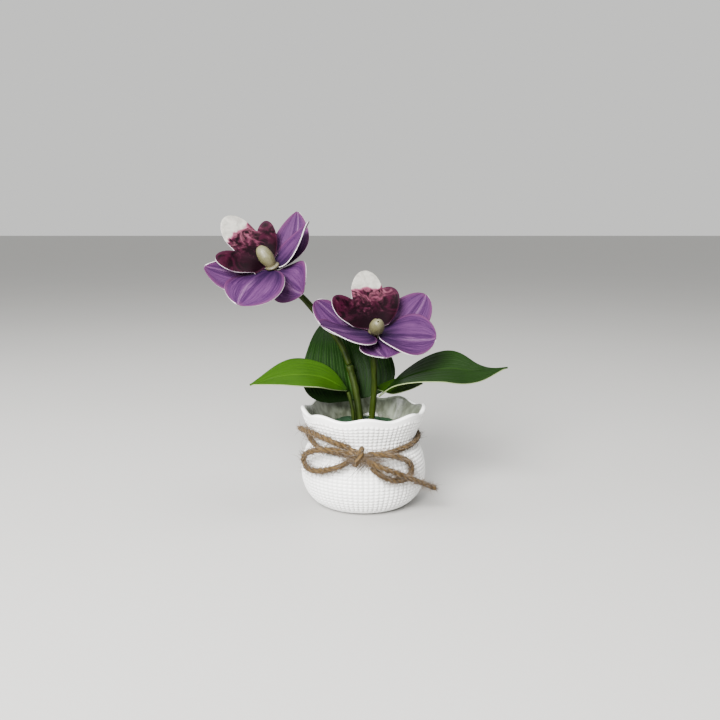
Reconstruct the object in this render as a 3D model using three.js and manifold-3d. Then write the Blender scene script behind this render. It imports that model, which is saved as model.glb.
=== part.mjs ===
// Artificial orchid in a white ceramic sack pot, tied round the neck with a bow of jute twine.
//
// Millimetres, +Z up. The origin is the centre of the flat base that the pot stands on. The front,
// where the bow is tied, looks along -Y. Every piece is a closed solid of its own, in its own mesh,
// and neighbours keep a gap of about GAP to each other.

import * as THREE from "three";
import { mergeVertices } from "three/addons/utils/BufferGeometryUtils.js";
import Module from "manifold-3d";

const wasm = await Module();
wasm.setup();

const { degToRad, lerp, smoothstep } = THREE.MathUtils;
const vec = (x, y, z) => new THREE.Vector3(x, y, z);
const UP = vec(0, 0, 1);
const ORIGIN = new THREE.Vector2(0, 0);

// ---------------------------------------------------------------- driving dimensions

const GAP = 0.3;

const RIM = { radius: 43.2, height: 68.0, scallops: 8, rise: 1.4, flare: 0.8, turn: degToRad(3), from: 54 };
const NECK = { radius: 36.3, height: 47.0 };
const BELLY = { radius: 43.5, height: 24.0 };
const BASE = { radius: 27.0, floor: 5.5 };
const WALL = 3.8;
const POT_SEGMENTS = 48;

const FOAM = { radius: 24.0, foot: 22.0, top: 56.0, crown: 1.2, segments: 24 };

const STEM = { lowerRadius: 2.6, upperRadius: 2.2, sides: 8, depth: 20.0 };
const LEAF_STEM = { radius: 1.3, sides: 8, depth: 14.0 };
const LEAF_THICKNESS = 1.0;

const PETAL_THICKNESS = 0.9;
const CALYX = { radius: 3.6, height: 4.4, top: 2.4 };
const COLUMN = { length: 17.0, radius: 5.1, peg: 2.2 };

const TWINE = { diameter: 3.2, sides: 8 };
const KNOT = { width: 12.5, height: 10.0, depth: 7.5 };

// ---------------------------------------------------------------- materials

const FINISHES = {
  ceramic: { color: "#f1f1ee", roughness: 0.28 },
  foam: { color: "#12401c", roughness: 0.95 },
  stem: { color: "#55691c", roughness: 0.55 },
  leaf: { color: "#1f5a1c", roughness: 0.5 },
  brightLeaf: { color: "#4d8a1e", roughness: 0.5 },
  petal: { color: "#6a3f86", roughness: 0.7 },
  lip: { color: "#4a0f35", roughness: 0.65 },
  column: { color: "#d9d7a8", roughness: 0.6 },
  twine: { color: "#a07c55", roughness: 0.95 },
};

/** A named mesh with its own material in one of the finishes. */
function piece(name, finish, geometry) {
  const material = new THREE.MeshStandardMaterial({ metalness: 0, ...FINISHES[finish] });
  const mesh = new THREE.Mesh(geometry, material);
  mesh.name = name;
  return mesh;
}

// ---------------------------------------------------------------- solid cuts

/** The geometry as a manifold solid, with shared vertices merged. */
function toSolid(geometry) {
  const bare = geometry.clone();
  bare.deleteAttribute("normal");
  bare.deleteAttribute("uv");
  const merged = mergeVertices(bare, 1e-4);
  const vertProperties = new Float32Array(merged.attributes.position.array);
  const triVerts = new Uint32Array(merged.index.array);
  return new wasm.Manifold(new wasm.Mesh({ numProp: 3, vertProperties, triVerts }));
}

/** A manifold solid as a buffer geometry. */
function toGeometry(solid) {
  const mesh = solid.getMesh();
  const geometry = new THREE.BufferGeometry();
  geometry.setAttribute("position", new THREE.BufferAttribute(mesh.vertProperties, 3));
  geometry.setIndex(new THREE.BufferAttribute(mesh.triVerts, 1));
  return geometry;
}

// ---------------------------------------------------------------- shared shapes

/** A closed profile of [radius, height] pairs turned round the Z axis. */
function turned(profile, segments) {
  const points = profile.map(([radius, height]) => new THREE.Vector2(radius, height));
  return new THREE.LatheGeometry(points, segments).rotateX(Math.PI / 2);
}

/** A round bar along a smooth curve through the points. */
function bar(points, radius, sides, steps) {
  const corner = (_, i) => new THREE.Vector2(radius, 0).rotateAround(ORIGIN, (i * 2 * Math.PI) / sides);
  const section = new THREE.Shape(Array.from({ length: sides }, corner));
  const extrudePath = new THREE.CatmullRomCurve3(points, false, "centripetal");
  return new THREE.ExtrudeGeometry(section, { steps, extrudePath });
}

/**
 * A thin sheet bent over a spine: a flat box whose length follows the spine, whose half width
 * follows width(along, side) and whose cross-section is lifted by lift(across, along).
 */
function blade({ spine, facing, width, lift, thickness, rows, columns }) {
  const sheet = new THREE.BoxGeometry(2, 1, 1, columns, rows, 1);
  const corners = sheet.attributes.position;
  for (let i = 0; i < corners.count; i += 1) {
    const across = corners.getX(i);
    const along = Math.sin(((corners.getY(i) + 0.5) * Math.PI) / 2);
    const tangent = spine.getTangent(along);
    const normal = facing(along);
    normal.addScaledVector(tangent, -normal.dot(tangent)).normalize();
    const side = new THREE.Vector3().crossVectors(tangent, normal);
    const reach = width(along, Math.sign(across));
    const height = lift(across, along) * reach + corners.getZ(i) * thickness;
    const point = spine.getPoint(along).addScaledVector(side, across * reach).addScaledVector(normal, height);
    corners.setXYZ(i, point.x, point.y, point.z);
  }
  return sheet;
}

/** Half width of a leaf or petal: widest at a share of its length, full or pointed at the end. */
function outline({ half, root, tip, widest, fullness }) {
  const power = Math.log(0.5) / Math.log(widest);
  return (along) => {
    const swell = Math.sin(Math.PI * Math.min(along, 1) ** power);
    return lerp(root, tip, along) + half * Math.max(swell, 0) ** fullness;
  };
}

// ---------------------------------------------------------------- pot and foam

/** Scallops the turned pot's rim: both faces rise and flare together above the neck. */
function scallop(geometry) {
  const corners = geometry.attributes.position;
  for (let i = 0; i < corners.count; i += 1) {
    const [x, y, z] = [corners.getX(i), corners.getY(i), corners.getZ(i)];
    const radius = Math.hypot(x, y);
    const amount = smoothstep(z, RIM.from, RIM.height) * (radius > BASE.radius ? 1 : 0);
    const wave = Math.cos(RIM.scallops * (Math.atan2(x, -y) - RIM.turn));
    const grown = radius > 0 ? (radius + RIM.flare * amount * wave) / radius : 1;
    corners.setXYZ(i, x * grown, y * grown, z + RIM.rise * amount * wave);
  }
  return geometry;
}

function makePot() {
  const profile = [
    [0, 0],
    [BASE.radius, 0],
    [BASE.radius + 6.5, 2.2],
    [BELLY.radius - 4.6, 8],
    [BELLY.radius - 1.2, 15.5],
    [BELLY.radius, BELLY.height],
    [BELLY.radius - 1.0, 32],
    [BELLY.radius - 3.6, 40],
    [NECK.radius + 0.9, NECK.height - 3.2],
    [NECK.radius, NECK.height],
    [NECK.radius + 0.6, NECK.height + 3.4],
    [NECK.radius + 2.4, 55],
    [RIM.radius - 1.8, 61],
    [RIM.radius, RIM.height - 1.2],
    [RIM.radius - 1.2, RIM.height],
    [RIM.radius - WALL + 0.8, RIM.height - 0.2],
    [RIM.radius - WALL, RIM.height - 1.6],
    [NECK.radius - WALL + 0.6, 54],
    [NECK.radius - WALL, NECK.height],
    [BELLY.radius - WALL - 1, 34],
    [BELLY.radius - WALL, BELLY.height],
    [BELLY.radius - WALL - 4.5, 11],
    [BASE.radius, BASE.floor],
    [0, BASE.floor],
  ];
  return piece("pot", "ceramic", scallop(turned(profile, POT_SEGMENTS)));
}

/** The plug of foam on the pot's floor, with a hole for every stem pushed into it. */
function makeFoam(stems) {
  const { radius, foot, top, crown, segments } = FOAM;
  const low = BASE.floor + GAP;
  const profile = [[0, low], [foot, low], [radius, top - 1.5], [radius - 1.5, top], [0, top + crown]];
  let plug = toSolid(turned(profile, segments));
  for (const stem of stems) {
    plug = plug.subtract(toSolid(stem));
  }
  return piece("foam_plug", "foam", toGeometry(plug));
}

// ---------------------------------------------------------------- stems

/** A point below a bloom's calyx, at a distance from the calyx along the bloom's own axis. */
function seat(bloom, distance) {
  const face = bloom.face.clone().normalize();
  return bloom.origin.clone().addScaledVector(face, -(CALYX.top + CALYX.height + distance));
}

/** Routes of the stems, from the foot in the foam up. */
function stemRoutes(blooms) {
  const foot = FOAM.top - STEM.depth;
  const leafFoot = FOAM.top - LEAF_STEM.depth;
  return {
    stem_upper_foot: [vec(-1.6, 2, foot), vec(-2.4, 2, 58), vec(-5.4, 4, 79), vec(-9.9, 7.6, 96)],
    stem_upper: [vec(-10.0, 7.8, 96.4), vec(-16.2, 11, 111), vec(-30.5, 12, 129.6), vec(-45.3, 9, 146.5),
      seat(blooms.upper, 5), seat(blooms.upper, GAP)],
    stem_lower: [vec(4.2, -1, foot), vec(5.6, -2, 58.5), vec(7.5, -4, 81), seat(blooms.lower, 7),
      seat(blooms.lower, GAP)],
    leaf_stem_left: [vec(-6.4, -3.4, leafFoot), vec(-6.9, -3.4, 58), vec(-8.3, -3, 70), vec(-10.6, -2.4, 79)],
    leaf_stem_back: [vec(-3.8, 9, leafFoot), vec(-4.6, 9.2, 58), vec(-5.9, 10.3, 65), vec(-7.2, 11.8, 69)],
  };
}

// ---------------------------------------------------------------- leaves

const LEAVES = {
  leaf_left: {
    finish: "brightLeaf",
    spine: [vec(-11.4, -2.6, 80.6), vec(-30, -6, 90.5), vec(-52, -11, 92.6), vec(-77.5, -14, 86.4)],
    facing: [vec(-0.2, -0.42, 1), vec(-0.1, -0.3, 1)],
    half: 19.5, skew: 0.08, widest: 0.5, fullness: 1.05, fold: 0.05,
  },
  leaf_right: {
    finish: "leaf",
    spine: [vec(10.6, -3.6, 76.2), vec(26, -5, 88.2), vec(56, -8, 96.6), vec(78, -10.5, 95.8),
      vec(98.3, -12, 98)],
    facing: [vec(-0.5, 0.3, 1), vec(0.1, -0.75, 1)],
    half: 23, skew: 0.06, widest: 0.5, fullness: 1.9, fold: 0.1,
  },
  leaf_back: {
    finish: "leaf",
    spine: [vec(-7.4, 12, 69.8), vec(-10.6, 16, 88), vec(-15, 24, 108), vec(-22, 42, 126)],
    facing: [vec(0, -1, 0.3), vec(0, -0.7, 0.9)],
    half: 31, skew: 0, widest: 0.33, fullness: 0.55, fold: 0.12,
  },
  leaf_small: {
    finish: "leaf",
    spine: [vec(8.4, 2.2, 81), vec(18, 5.6, 80), vec(30, 5.6, 82.4), vec(42, 8, 83)],
    facing: [vec(0, -0.6, 0.8), vec(0, -0.4, 1)],
    half: 7.2, skew: 0, widest: 0.55, fullness: 1.1, fold: 0.1,
  },
};

/** A pointed leaf with its midrib as a shallow fold. */
function makeLeaf(name, leaf) {
  const [start, end] = leaf.facing;
  const half = outline({ half: leaf.half, root: 1.2, tip: 0.5, widest: leaf.widest, fullness: leaf.fullness });
  return piece(name, leaf.finish, blade({
    spine: new THREE.CatmullRomCurve3(leaf.spine, false, "centripetal"),
    facing: (along) => start.clone().lerp(end, along),
    width: (along, side) => half(along) * (1 + side * leaf.skew),
    lift: (across) => leaf.fold * Math.abs(across),
    thickness: LEAF_THICKNESS,
    rows: 9,
    columns: 4,
  }));
}

// ---------------------------------------------------------------- blooms

// In a bloom's own frame +Z is the way it faces, +Y runs to its dorsal sepal and the lip lies at -Y.
// A tepal's turn is its direction from +Y, its reach and rise place its end, its bow lifts the middle
// of its spine, its lean tips its face towards the dorsal sepal and its cup lifts both edges.

const LATERAL = { turn: 128, reach: 47, rise: 17, bow: -5, root: -1.4, half: 14, widest: 0.55, fullness: 0.7,
  lean: 24, cup: 0.12 };
const PETAL = { turn: 74, reach: 41, rise: 12, bow: 3, root: 0.9, half: 20.5, widest: 0.52, fullness: 0.52,
  lean: 0, cup: 0.05 };
const DORSAL = { turn: 0, reach: 30, rise: -4, bow: -3, root: -1.4, half: 13.5, widest: 0.6, fullness: 0.62,
  lean: 0, cup: 0.05 };
const LIP = { rise: 42, root: 1.2, cup: 0.006, middle: { at: 2, reach: 47.5, widths: [37, 30] } };

const BLOOMS = {
  upper: {
    origin: vec(-61.2, 0.2, 163.8), dorsal: vec(0.655, -0.742, -0.139), face: vec(-0.284, -0.414, 0.865),
    petal_left: { ...PETAL, rise: -1, bow: 2, lean: 18 },
    petal_right: { ...PETAL, turn: -82, reach: 37, rise: 18, half: 14.5, lean: -26, cup: 0.2 },
    lateral_sepal_left: { ...LATERAL, turn: 127, reach: 44, rise: 18, lean: 44 },
    lateral_sepal_right: { ...LATERAL, turn: -113, reach: 49, rise: 17.5, half: 12, lean: 20 },
    dorsal_sepal: { ...DORSAL, reach: 26, rise: -13, half: 15, lean: 56 },
    lip: { ...LIP, spread: [88, 72], lobes: [{ at: -48, reach: 36.5, width: 33 }, { at: 37, reach: 34.5, width: 28 }] },
    pillar: { tilt: 31, swing: 0 },
  },
  lower: {
    origin: vec(7.8, -12.3, 120), dorsal: vec(0.228, -0.948, -0.222), face: vec(0.049, -0.216, 0.975),
    petal_left: { ...PETAL, bow: 1.5, rise: 12.5 },
    petal_right: { ...PETAL, turn: -72, rise: 2, half: 22.5, lean: 26 },
    lateral_sepal_left: LATERAL,
    lateral_sepal_right: { ...LATERAL, turn: -123, reach: 51, rise: 19.5 },
    dorsal_sepal: DORSAL,
    lip: { ...LIP, spread: [80, 70], lobes: [{ at: -46, reach: 35.5, width: 36 }, { at: 28, reach: 37, width: 38 }] },
    pillar: { tilt: -44, swing: 9 },
  },
};

/** One petal or sepal: a blade that grows from the bloom's centre. */
function tepal(t) {
  const turn = degToRad(t.turn);
  const out = vec(Math.sin(turn), Math.cos(turn), 0);
  const side = new THREE.Vector3().crossVectors(out, UP).multiplyScalar(-Math.sign(turn) || 1);
  const at = (radius, height) => out.clone().multiplyScalar(radius).addScaledVector(UP, height);
  const lean = (along) => degToRad(t.lean) * along;
  return blade({
    spine: new THREE.QuadraticBezierCurve3(at(2.6, t.root), at(t.reach * 0.5, t.bow), at(t.reach, t.rise)),
    facing: (along) => UP.clone().multiplyScalar(Math.cos(lean(along))).addScaledVector(side, Math.sin(lean(along))),
    width: outline({ half: t.half, root: 2.4, tip: 0.6, widest: t.widest, fullness: t.fullness }),
    lift: (across) => t.cup * across * across,
    thickness: PETAL_THICKNESS,
    rows: 7,
    columns: 4,
  });
}

/** Radius of the lip's edge at an angle from its midline, in degrees: a long middle lobe and two side lobes. */
function lipEdge(angle, { middle, lobes }) {
  const width = middle.widths[angle < middle.at ? 0 : 1];
  const lengths = lobes.map((lobe) => lobe.reach * Math.exp(-(((angle - lobe.at) / lobe.width) ** 2)));
  return Math.max(middle.reach * Math.exp(-(Math.abs((angle - middle.at) / width) ** 2.2)), ...lengths, 12);
}

/** The three-lobed lip: a fan that rises from below the column and spreads away from the dorsal sepal. */
function lip(l) {
  const rise = degToRad(l.rise);
  const axis = vec(0, -Math.cos(rise), Math.sin(rise));
  const face = vec(0, Math.sin(rise), Math.cos(rise));
  const side = new THREE.Vector3().crossVectors(axis, face);
  const sheet = new THREE.BoxGeometry(2, 1, 1, 18, 4, 1);
  const corners = sheet.attributes.position;
  for (let i = 0; i < corners.count; i += 1) {
    const [turn, along] = [corners.getX(i), corners.getY(i) + 0.5];
    const angle = turn * l.spread[turn < 0 ? 0 : 1];
    const radius = lerp(l.root, lipEdge(angle, l), along);
    const across = radius * Math.sin(degToRad(angle));
    const height = l.cup * across * across + corners.getZ(i) * PETAL_THICKNESS;
    const point = vec(0, -4.8, 2.1).addScaledVector(side, across);
    point.addScaledVector(axis, radius * Math.cos(degToRad(angle))).addScaledVector(face, height);
    corners.setXYZ(i, point.x, point.y, point.z);
  }
  return sheet;
}

/** The egg-shaped column at the bloom's centre, tilted over the lip, on a peg that holds the petals. */
function column({ tilt, swing }) {
  const { length, radius, peg } = COLUMN;
  const profile = [[0, 0], [radius * 0.5, 0.4], [radius * 0.9, length * 0.3], [radius, length * 0.52],
    [radius * 0.82, length * 0.8], [radius * 0.42, length * 0.96], [0, length]];
  const egg = turned(profile, 12).rotateX(degToRad(tilt)).rotateY(degToRad(swing)).translate(0, 0.6, 2.4);
  const post = turned([[0, -2.1], [peg, -2.1], [peg, 2.3], [4.9, 2.5], [4.6, 3.6], [0, 4.4]], 12);
  return toGeometry(toSolid(egg).add(toSolid(post)));
}

/** The small cup under the sepals that joins the bloom to its stem. */
function calyx() {
  const { radius, height, top } = CALYX;
  const profile = [[0, -height], [radius * 0.62, -height], [radius, -height * 0.35], [radius, 0], [0, 0]];
  return turned(profile, 10).translate(0, 0, -top);
}

/** A bloom's eight pieces in one group, set at its place and turned to the way it faces. */
function makeBloom(name, bloom) {
  const group = new THREE.Group();
  const face = bloom.face.clone().normalize();
  const dorsal = bloom.dorsal.clone().addScaledVector(face, -bloom.dorsal.dot(face)).normalize();
  const side = new THREE.Vector3().crossVectors(dorsal, face);
  group.quaternion.setFromRotationMatrix(new THREE.Matrix4().makeBasis(side, dorsal, face));
  group.position.copy(bloom.origin);
  for (const part of ["dorsal_sepal", "lateral_sepal_left", "lateral_sepal_right", "petal_left", "petal_right"]) {
    group.add(piece(`${name}_${part}`, "petal", tepal(bloom[part])));
  }
  group.add(piece(`${name}_lip`, "lip", lip(bloom.lip)));
  group.add(piece(`${name}_column`, "column", column(bloom.pillar)));
  group.add(piece(`${name}_calyx`, "stem", calyx()));
  return group;
}

// ---------------------------------------------------------------- twine

const TWINE_ROUTES = {
  twine_loop_left: [vec(-10, -45.2, 46.4), vec(-15.6, -45.2, 48.6), vec(-24, -43.6, 49.2), vec(-33, -37.6, 47),
    vec(-39.2, -29.6, 42), vec(-40.6, -25.5, 37), vec(-38.8, -27.5, 33), vec(-33, -34.5, 32.4), vec(-25.5, -40.5, 34.4),
    vec(-17, -45.2, 38), vec(-10.4, -46.8, 41.6)],
  twine_loop_right: [vec(4, -46.4, 46.6), vec(12, -46.4, 46.6), vec(20.5, -44, 45), vec(27.6, -39.8, 41.4),
    vec(31.8, -35.4, 35.6), vec(31.2, -35.6, 30.2), vec(25.8, -39.8, 27.4), vec(18.4, -44.4, 29), vec(11, -47.8, 33.4),
    vec(5, -48.6, 38.4)],
  twine_tail_left: [vec(-8.6, -42.4, 50), vec(-16, -40.2, 51.8), vec(-25.6, -34.8, 54.4), vec(-34.5, -26, 56),
    vec(-43.6, -12, 55.6)],
  twine_tail_right: [vec(4.8, -50, 41.8), vec(12, -50.2, 39), vec(20, -47.8, 35.4), vec(28, -43, 30.6),
    vec(37, -36, 25), vec(48.2, -27, 17.8)],
};

/** Heights of the turn of twine round the neck, as [turn from the front in degrees, height] pairs. */
const WRAP_HEIGHTS = [[3, 44], [20, 44.6], [50, 46.2], [90, 48.2], [180, 49.6], [250, 50.8], [280, 50.4],
  [293, 47.4], [308, 45.4], [335, 44.4], [357, 44]];

/** The turn of twine round the neck, which closes behind the knot. */
function wrapRoute() {
  const heights = new THREE.CatmullRomCurve3(WRAP_HEIGHTS.map(([turn, height]) => vec(turn, 0, height)));
  const steps = 32;
  return Array.from({ length: steps + 1 }, (_, i) => {
    const { x, z } = heights.getPoint(i / steps);
    const radius = NECK.radius + TWINE.diameter / 2 + 0.6 + 0.06 * (z - NECK.height) ** 2;
    return vec(radius * Math.sin(degToRad(x)), -radius * Math.cos(degToRad(x)), z);
  });
}

// ---------------------------------------------------------------- assembly

const orchid = new THREE.Group();

const STEM_SIZES = {
  stem_upper_foot: { radius: STEM.lowerRadius, sides: STEM.sides, steps: 7 },
  stem_upper: { radius: STEM.upperRadius, sides: STEM.sides, steps: 14 },
  stem_lower: { radius: STEM.upperRadius, sides: STEM.sides, steps: 10 },
  leaf_stem_left: { radius: LEAF_STEM.radius, sides: LEAF_STEM.sides, steps: 6 },
  leaf_stem_back: { radius: LEAF_STEM.radius, sides: LEAF_STEM.sides, steps: 5 },
};
const routes = stemRoutes(BLOOMS);
/** One stem, thickened by an allowance: the foam's holes are the stems with GAP round them. */
const stemBar = (name, allowance) => {
  const { radius, sides, steps } = STEM_SIZES[name];
  return bar(routes[name], radius + allowance, sides, steps);
};
const stemNames = Object.keys(STEM_SIZES);

orchid.add(makePot());
orchid.add(makeFoam(stemNames.map((name) => stemBar(name, GAP))));
for (const name of stemNames) {
  orchid.add(piece(name, "stem", stemBar(name, 0)));
}
for (const [name, leaf] of Object.entries(LEAVES)) {
  orchid.add(makeLeaf(name, leaf));
}
for (const [name, bloom] of Object.entries(BLOOMS)) {
  orchid.add(makeBloom(name, bloom));
}

orchid.add(piece("twine_wrap", "twine", bar(wrapRoute(), TWINE.diameter / 2, TWINE.sides, 40)));
for (const [name, route] of Object.entries(TWINE_ROUTES)) {
  const steps = 2 * (route.length - 1);
  orchid.add(piece(name, "twine", bar(route, TWINE.diameter / 2, TWINE.sides, steps)));
}
const knot = new THREE.SphereGeometry(1, 12, 8).scale(KNOT.width / 2, KNOT.depth / 2, KNOT.height / 2);
orchid.add(piece("twine_knot", "twine", knot.translate(-3.3, -45.6, 45)));

export default orchid;
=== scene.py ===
"""Artificial orchid in a white ceramic sack pot, tied with a bow of jute twine.

Sizes are in millimetres inside the classes and become metres where a mesh is made. +Z is up, the
origin is the centre of the pot's base, and the bow is tied on the side that looks along -Y.
"""

import logging
import math
from collections.abc import Callable, Sequence
from dataclasses import dataclass, field
from enum import Enum

import bpy
import numpy as np
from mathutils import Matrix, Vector, noise


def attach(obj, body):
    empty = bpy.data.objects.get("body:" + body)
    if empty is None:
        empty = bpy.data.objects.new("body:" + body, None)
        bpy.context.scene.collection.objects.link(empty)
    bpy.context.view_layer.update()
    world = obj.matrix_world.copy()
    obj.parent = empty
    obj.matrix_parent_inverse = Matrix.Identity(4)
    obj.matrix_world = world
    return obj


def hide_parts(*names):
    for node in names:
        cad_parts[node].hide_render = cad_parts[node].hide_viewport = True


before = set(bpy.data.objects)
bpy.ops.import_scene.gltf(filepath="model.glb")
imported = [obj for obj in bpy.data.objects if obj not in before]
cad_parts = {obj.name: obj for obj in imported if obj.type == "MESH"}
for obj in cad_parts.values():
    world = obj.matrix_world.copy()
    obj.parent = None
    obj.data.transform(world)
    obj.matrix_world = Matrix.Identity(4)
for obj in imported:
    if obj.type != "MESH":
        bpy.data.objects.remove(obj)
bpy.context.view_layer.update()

LOG = logging.getLogger("orchid")
MM = 0.001
Array = np.ndarray
Colour = tuple[float, float, float]


class Slot(Enum):
    """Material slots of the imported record."""

    GLAZE = "glaze"
    FOAM = "foam"
    STEM = "stem"
    LEAF = "leaf"
    BRIGHT_LEAF = "bright_leaf"
    PETAL = "petal"
    LIP = "lip"
    COLUMN = "column"
    TWINE = "twine"


class Side(Enum):
    """Faces of a cut sheet, in the order of its material slots."""

    FRONT = 0
    BACK = 1
    EDGE = 2


# ---------------------------------------------------------------- shader graph


class Wire:
    """A shader socket that Python's operators work on, by adding Math nodes."""

    def __init__(self, graph: "Graph", socket: bpy.types.NodeSocket) -> None:
        """Keeps the socket and the graph it belongs to."""
        self.graph = graph
        self.socket = socket

    def __add__(self, other: "Wire | float") -> "Wire":
        """Sum."""
        return self.graph.maths("ADD", self, other)

    def __sub__(self, other: "Wire | float") -> "Wire":
        """Difference."""
        return self.graph.maths("SUBTRACT", self, other)

    def __rsub__(self, other: float) -> "Wire":
        """A number less this value."""
        return self.graph.maths("SUBTRACT", other, self)

    def __mul__(self, other: "Wire | float") -> "Wire":
        """Product."""
        return self.graph.maths("MULTIPLY", self, other)

    def __abs__(self) -> "Wire":
        """Size without its sign."""
        return self.graph.maths("ABSOLUTE", self)

    __radd__ = __add__
    __rmul__ = __mul__


class Graph:
    """One material's node tree, built from expressions."""

    def __init__(self, name: str) -> None:
        """Starts an empty material.

        Args:
            name: the material's name.
        """
        self.material = bpy.data.materials.new(name)
        self.material.use_nodes = True
        self.tree = self.material.node_tree
        self.tree.nodes.clear()

    def node(self, kind: str, settings: dict | None = None, inputs: dict | None = None) -> bpy.types.Node:
        """Adds a node.

        Args:
            kind: the node's type name.
            settings: attributes set before the inputs.
            inputs: values or wires by socket name or number.

        Returns:
            The node.
        """
        made = self.tree.nodes.new(kind)
        for key, value in (settings or {}).items():
            setattr(made, key, value)
        for key, value in (inputs or {}).items():
            if isinstance(value, Wire):
                self.tree.links.new(value.socket, made.inputs[key])
            elif isinstance(value, tuple) and made.inputs[key].type == "RGBA":
                made.inputs[key].default_value = (*value[:3], 1.0)
            else:
                made.inputs[key].default_value = value
        return made

    def wire(
        self, kind: str, output: str | int, settings: dict | None = None, inputs: dict | None = None
    ) -> Wire:
        """Adds a node and returns one of its outputs.

        Args:
            kind: the node's type name.
            output: the output socket's name or number.
            settings: as for node.
            inputs: as for node.

        Returns:
            The output as a wire.
        """
        return Wire(self, self.node(kind, settings, inputs).outputs[output])

    def maths(self, operation: str, first: Wire | float, second: Wire | float = 0.0) -> Wire:
        """A Math node on one or two values."""
        return self.wire("ShaderNodeMath", 0, {"operation": operation}, {0: first, 1: second})

    def clamped(self, value: Wire, low: float, high: float) -> Wire:
        """Where value lies from low to high, as 0 to 1, eased at both ends.

        Args:
            value: the value to place.
            low: the value that gives 0; it may be above high.
            high: the value that gives 1.

        Returns:
            The eased share.
        """
        settings = {"interpolation_type": "SMOOTHSTEP"}
        flip = low > high
        near, far = (high, low) if flip else (low, high)
        ends = {"From Min": near, "From Max": far, "To Min": float(flip), "To Max": float(not flip)}
        ends["Value"] = value
        return self.wire("ShaderNodeMapRange", "Result", settings, ends)

    def blend(self, factor: Wire | float, first: Wire | Colour, second: Wire | Colour) -> Wire:
        """Mixes two colours.

        Args:
            factor: 0 gives first and 1 gives second.
            first: the colour underneath.
            second: the colour on top.

        Returns:
            The mixed colour.
        """
        settings = {"data_type": "RGBA", "blend_type": "MIX", "clamp_factor": True}
        return self.wire("ShaderNodeMix", 2, settings, {0: factor, 6: first, 7: second})

    def attribute(self, name: str) -> Wire:
        """A named value that the mesh carries at its vertices."""
        return self.wire("ShaderNodeAttribute", "Fac", {"attribute_name": name})

    def place(self) -> Wire:
        """The point on the object, in metres."""
        return self.wire("ShaderNodeTexCoord", "Object")

    def vector(self, x: Wire | float, y: Wire | float, z: Wire | float = 0.0) -> Wire:
        """Three values as one vector."""
        return self.wire("ShaderNodeCombineXYZ", 0, None, {0: x, 1: y, 2: z})

    def grain(
        self, at: Wire, scale: float, detail: float = 3.0, rough: float = 0.5, twist: float = 0.0
    ) -> Wire:
        """Noise from 0 to 1.

        Args:
            at: where to read it.
            scale: repeats per unit.
            detail: octaves.
            rough: share of each finer octave.
            twist: how far it distorts itself.

        Returns:
            The noise value.
        """
        values = {"Vector": at, "Scale": scale, "Detail": detail, "Roughness": rough, "Distortion": twist}
        return self.wire("ShaderNodeTexNoise", 0, None, values)

    def stretched(self, at: Wire, scale: Sequence[float]) -> Wire:
        """The point scaled along its axes."""
        return self.wire("ShaderNodeMapping", 0, None, {"Vector": at, "Scale": tuple(scale)})

    def bump(self, height: Wire, depth: float, strength: float = 1.0, under: Wire | None = None) -> Wire:
        """A normal bent by a height.

        Args:
            height: the height, in units of depth.
            depth: metres for a height of 1.
            strength: how much of it shows.
            under: a normal that this one is laid over.

        Returns:
            The bent normal.
        """
        values = {"Height": height, "Distance": depth, "Strength": strength}
        if under is not None:
            values["Normal"] = under
        return self.wire("ShaderNodeBump", 0, None, values)

    def finish(self, **sockets: Wire | float | Colour) -> bpy.types.Material:
        """Joins the Principled shader's sockets to the output.

        Args:
            sockets: values by socket name, with spaces written as underscores.

        Returns:
            The finished material.
        """
        named = {key.replace("_", " "): value for key, value in sockets.items()}
        shader = self.wire("ShaderNodeBsdfPrincipled", 0, None, named)
        self.node("ShaderNodeOutputMaterial", None, {"Surface": shader})
        return self.material


# ---------------------------------------------------------------- finishes


@dataclass(frozen=True)
class Glaze:
    """Glossy white glaze, with painted shade that greys the hollows of the relief and darkens the inner
    wall.
    """

    name: str = "glaze"
    body: Colour = (0.93, 0.93, 0.92)
    # Painted shade for the hollows of the relief.
    hollow: Colour = (0.60, 0.60, 0.585)
    # Painted shade for the pot's inner wall.
    inside: Colour = (0.070, 0.080, 0.052)

    def material(self) -> bpy.types.Material:
        """The finished material."""
        g = Graph(self.name)
        at = g.place()
        hollow = g.attribute("hollow")
        cloud = g.grain(at, 60.0, 3.0)
        speck = g.clamped(g.grain(at, 900.0, 2.0), 0.74, 0.80)
        # Painted shade: greyer in the hollows between the raised squares.
        base = g.blend(hollow * 0.9, self.body, self.hollow)
        base = g.blend(g.clamped(cloud, 0.35, 0.75) * 0.25, base, (0.88, 0.88, 0.87))
        base = g.blend(speck * 0.25, base, (0.45, 0.40, 0.34))
        # Painted shade on the inner wall, in faint upright streaks.
        streak = g.grain(g.stretched(at, (260.0, 260.0, 14.0)), 1.0, 3.0)
        shaded = g.blend(g.clamped(streak, 0.35, 0.7), self.inside, (0.15, 0.17, 0.125))
        base = g.blend(g.attribute("inside"), base, shaded)
        fine = g.grain(at, 420.0, 2.0)
        return g.finish(
            Base_Color=base,
            Roughness=0.24 + hollow * 0.2 + cloud * 0.08,
            Coat_Weight=0.35,
            Coat_Roughness=0.12,
            Specular_IOR_Level=0.5,
            Normal=g.bump(fine, 0.00012, 0.35),
        )


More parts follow.
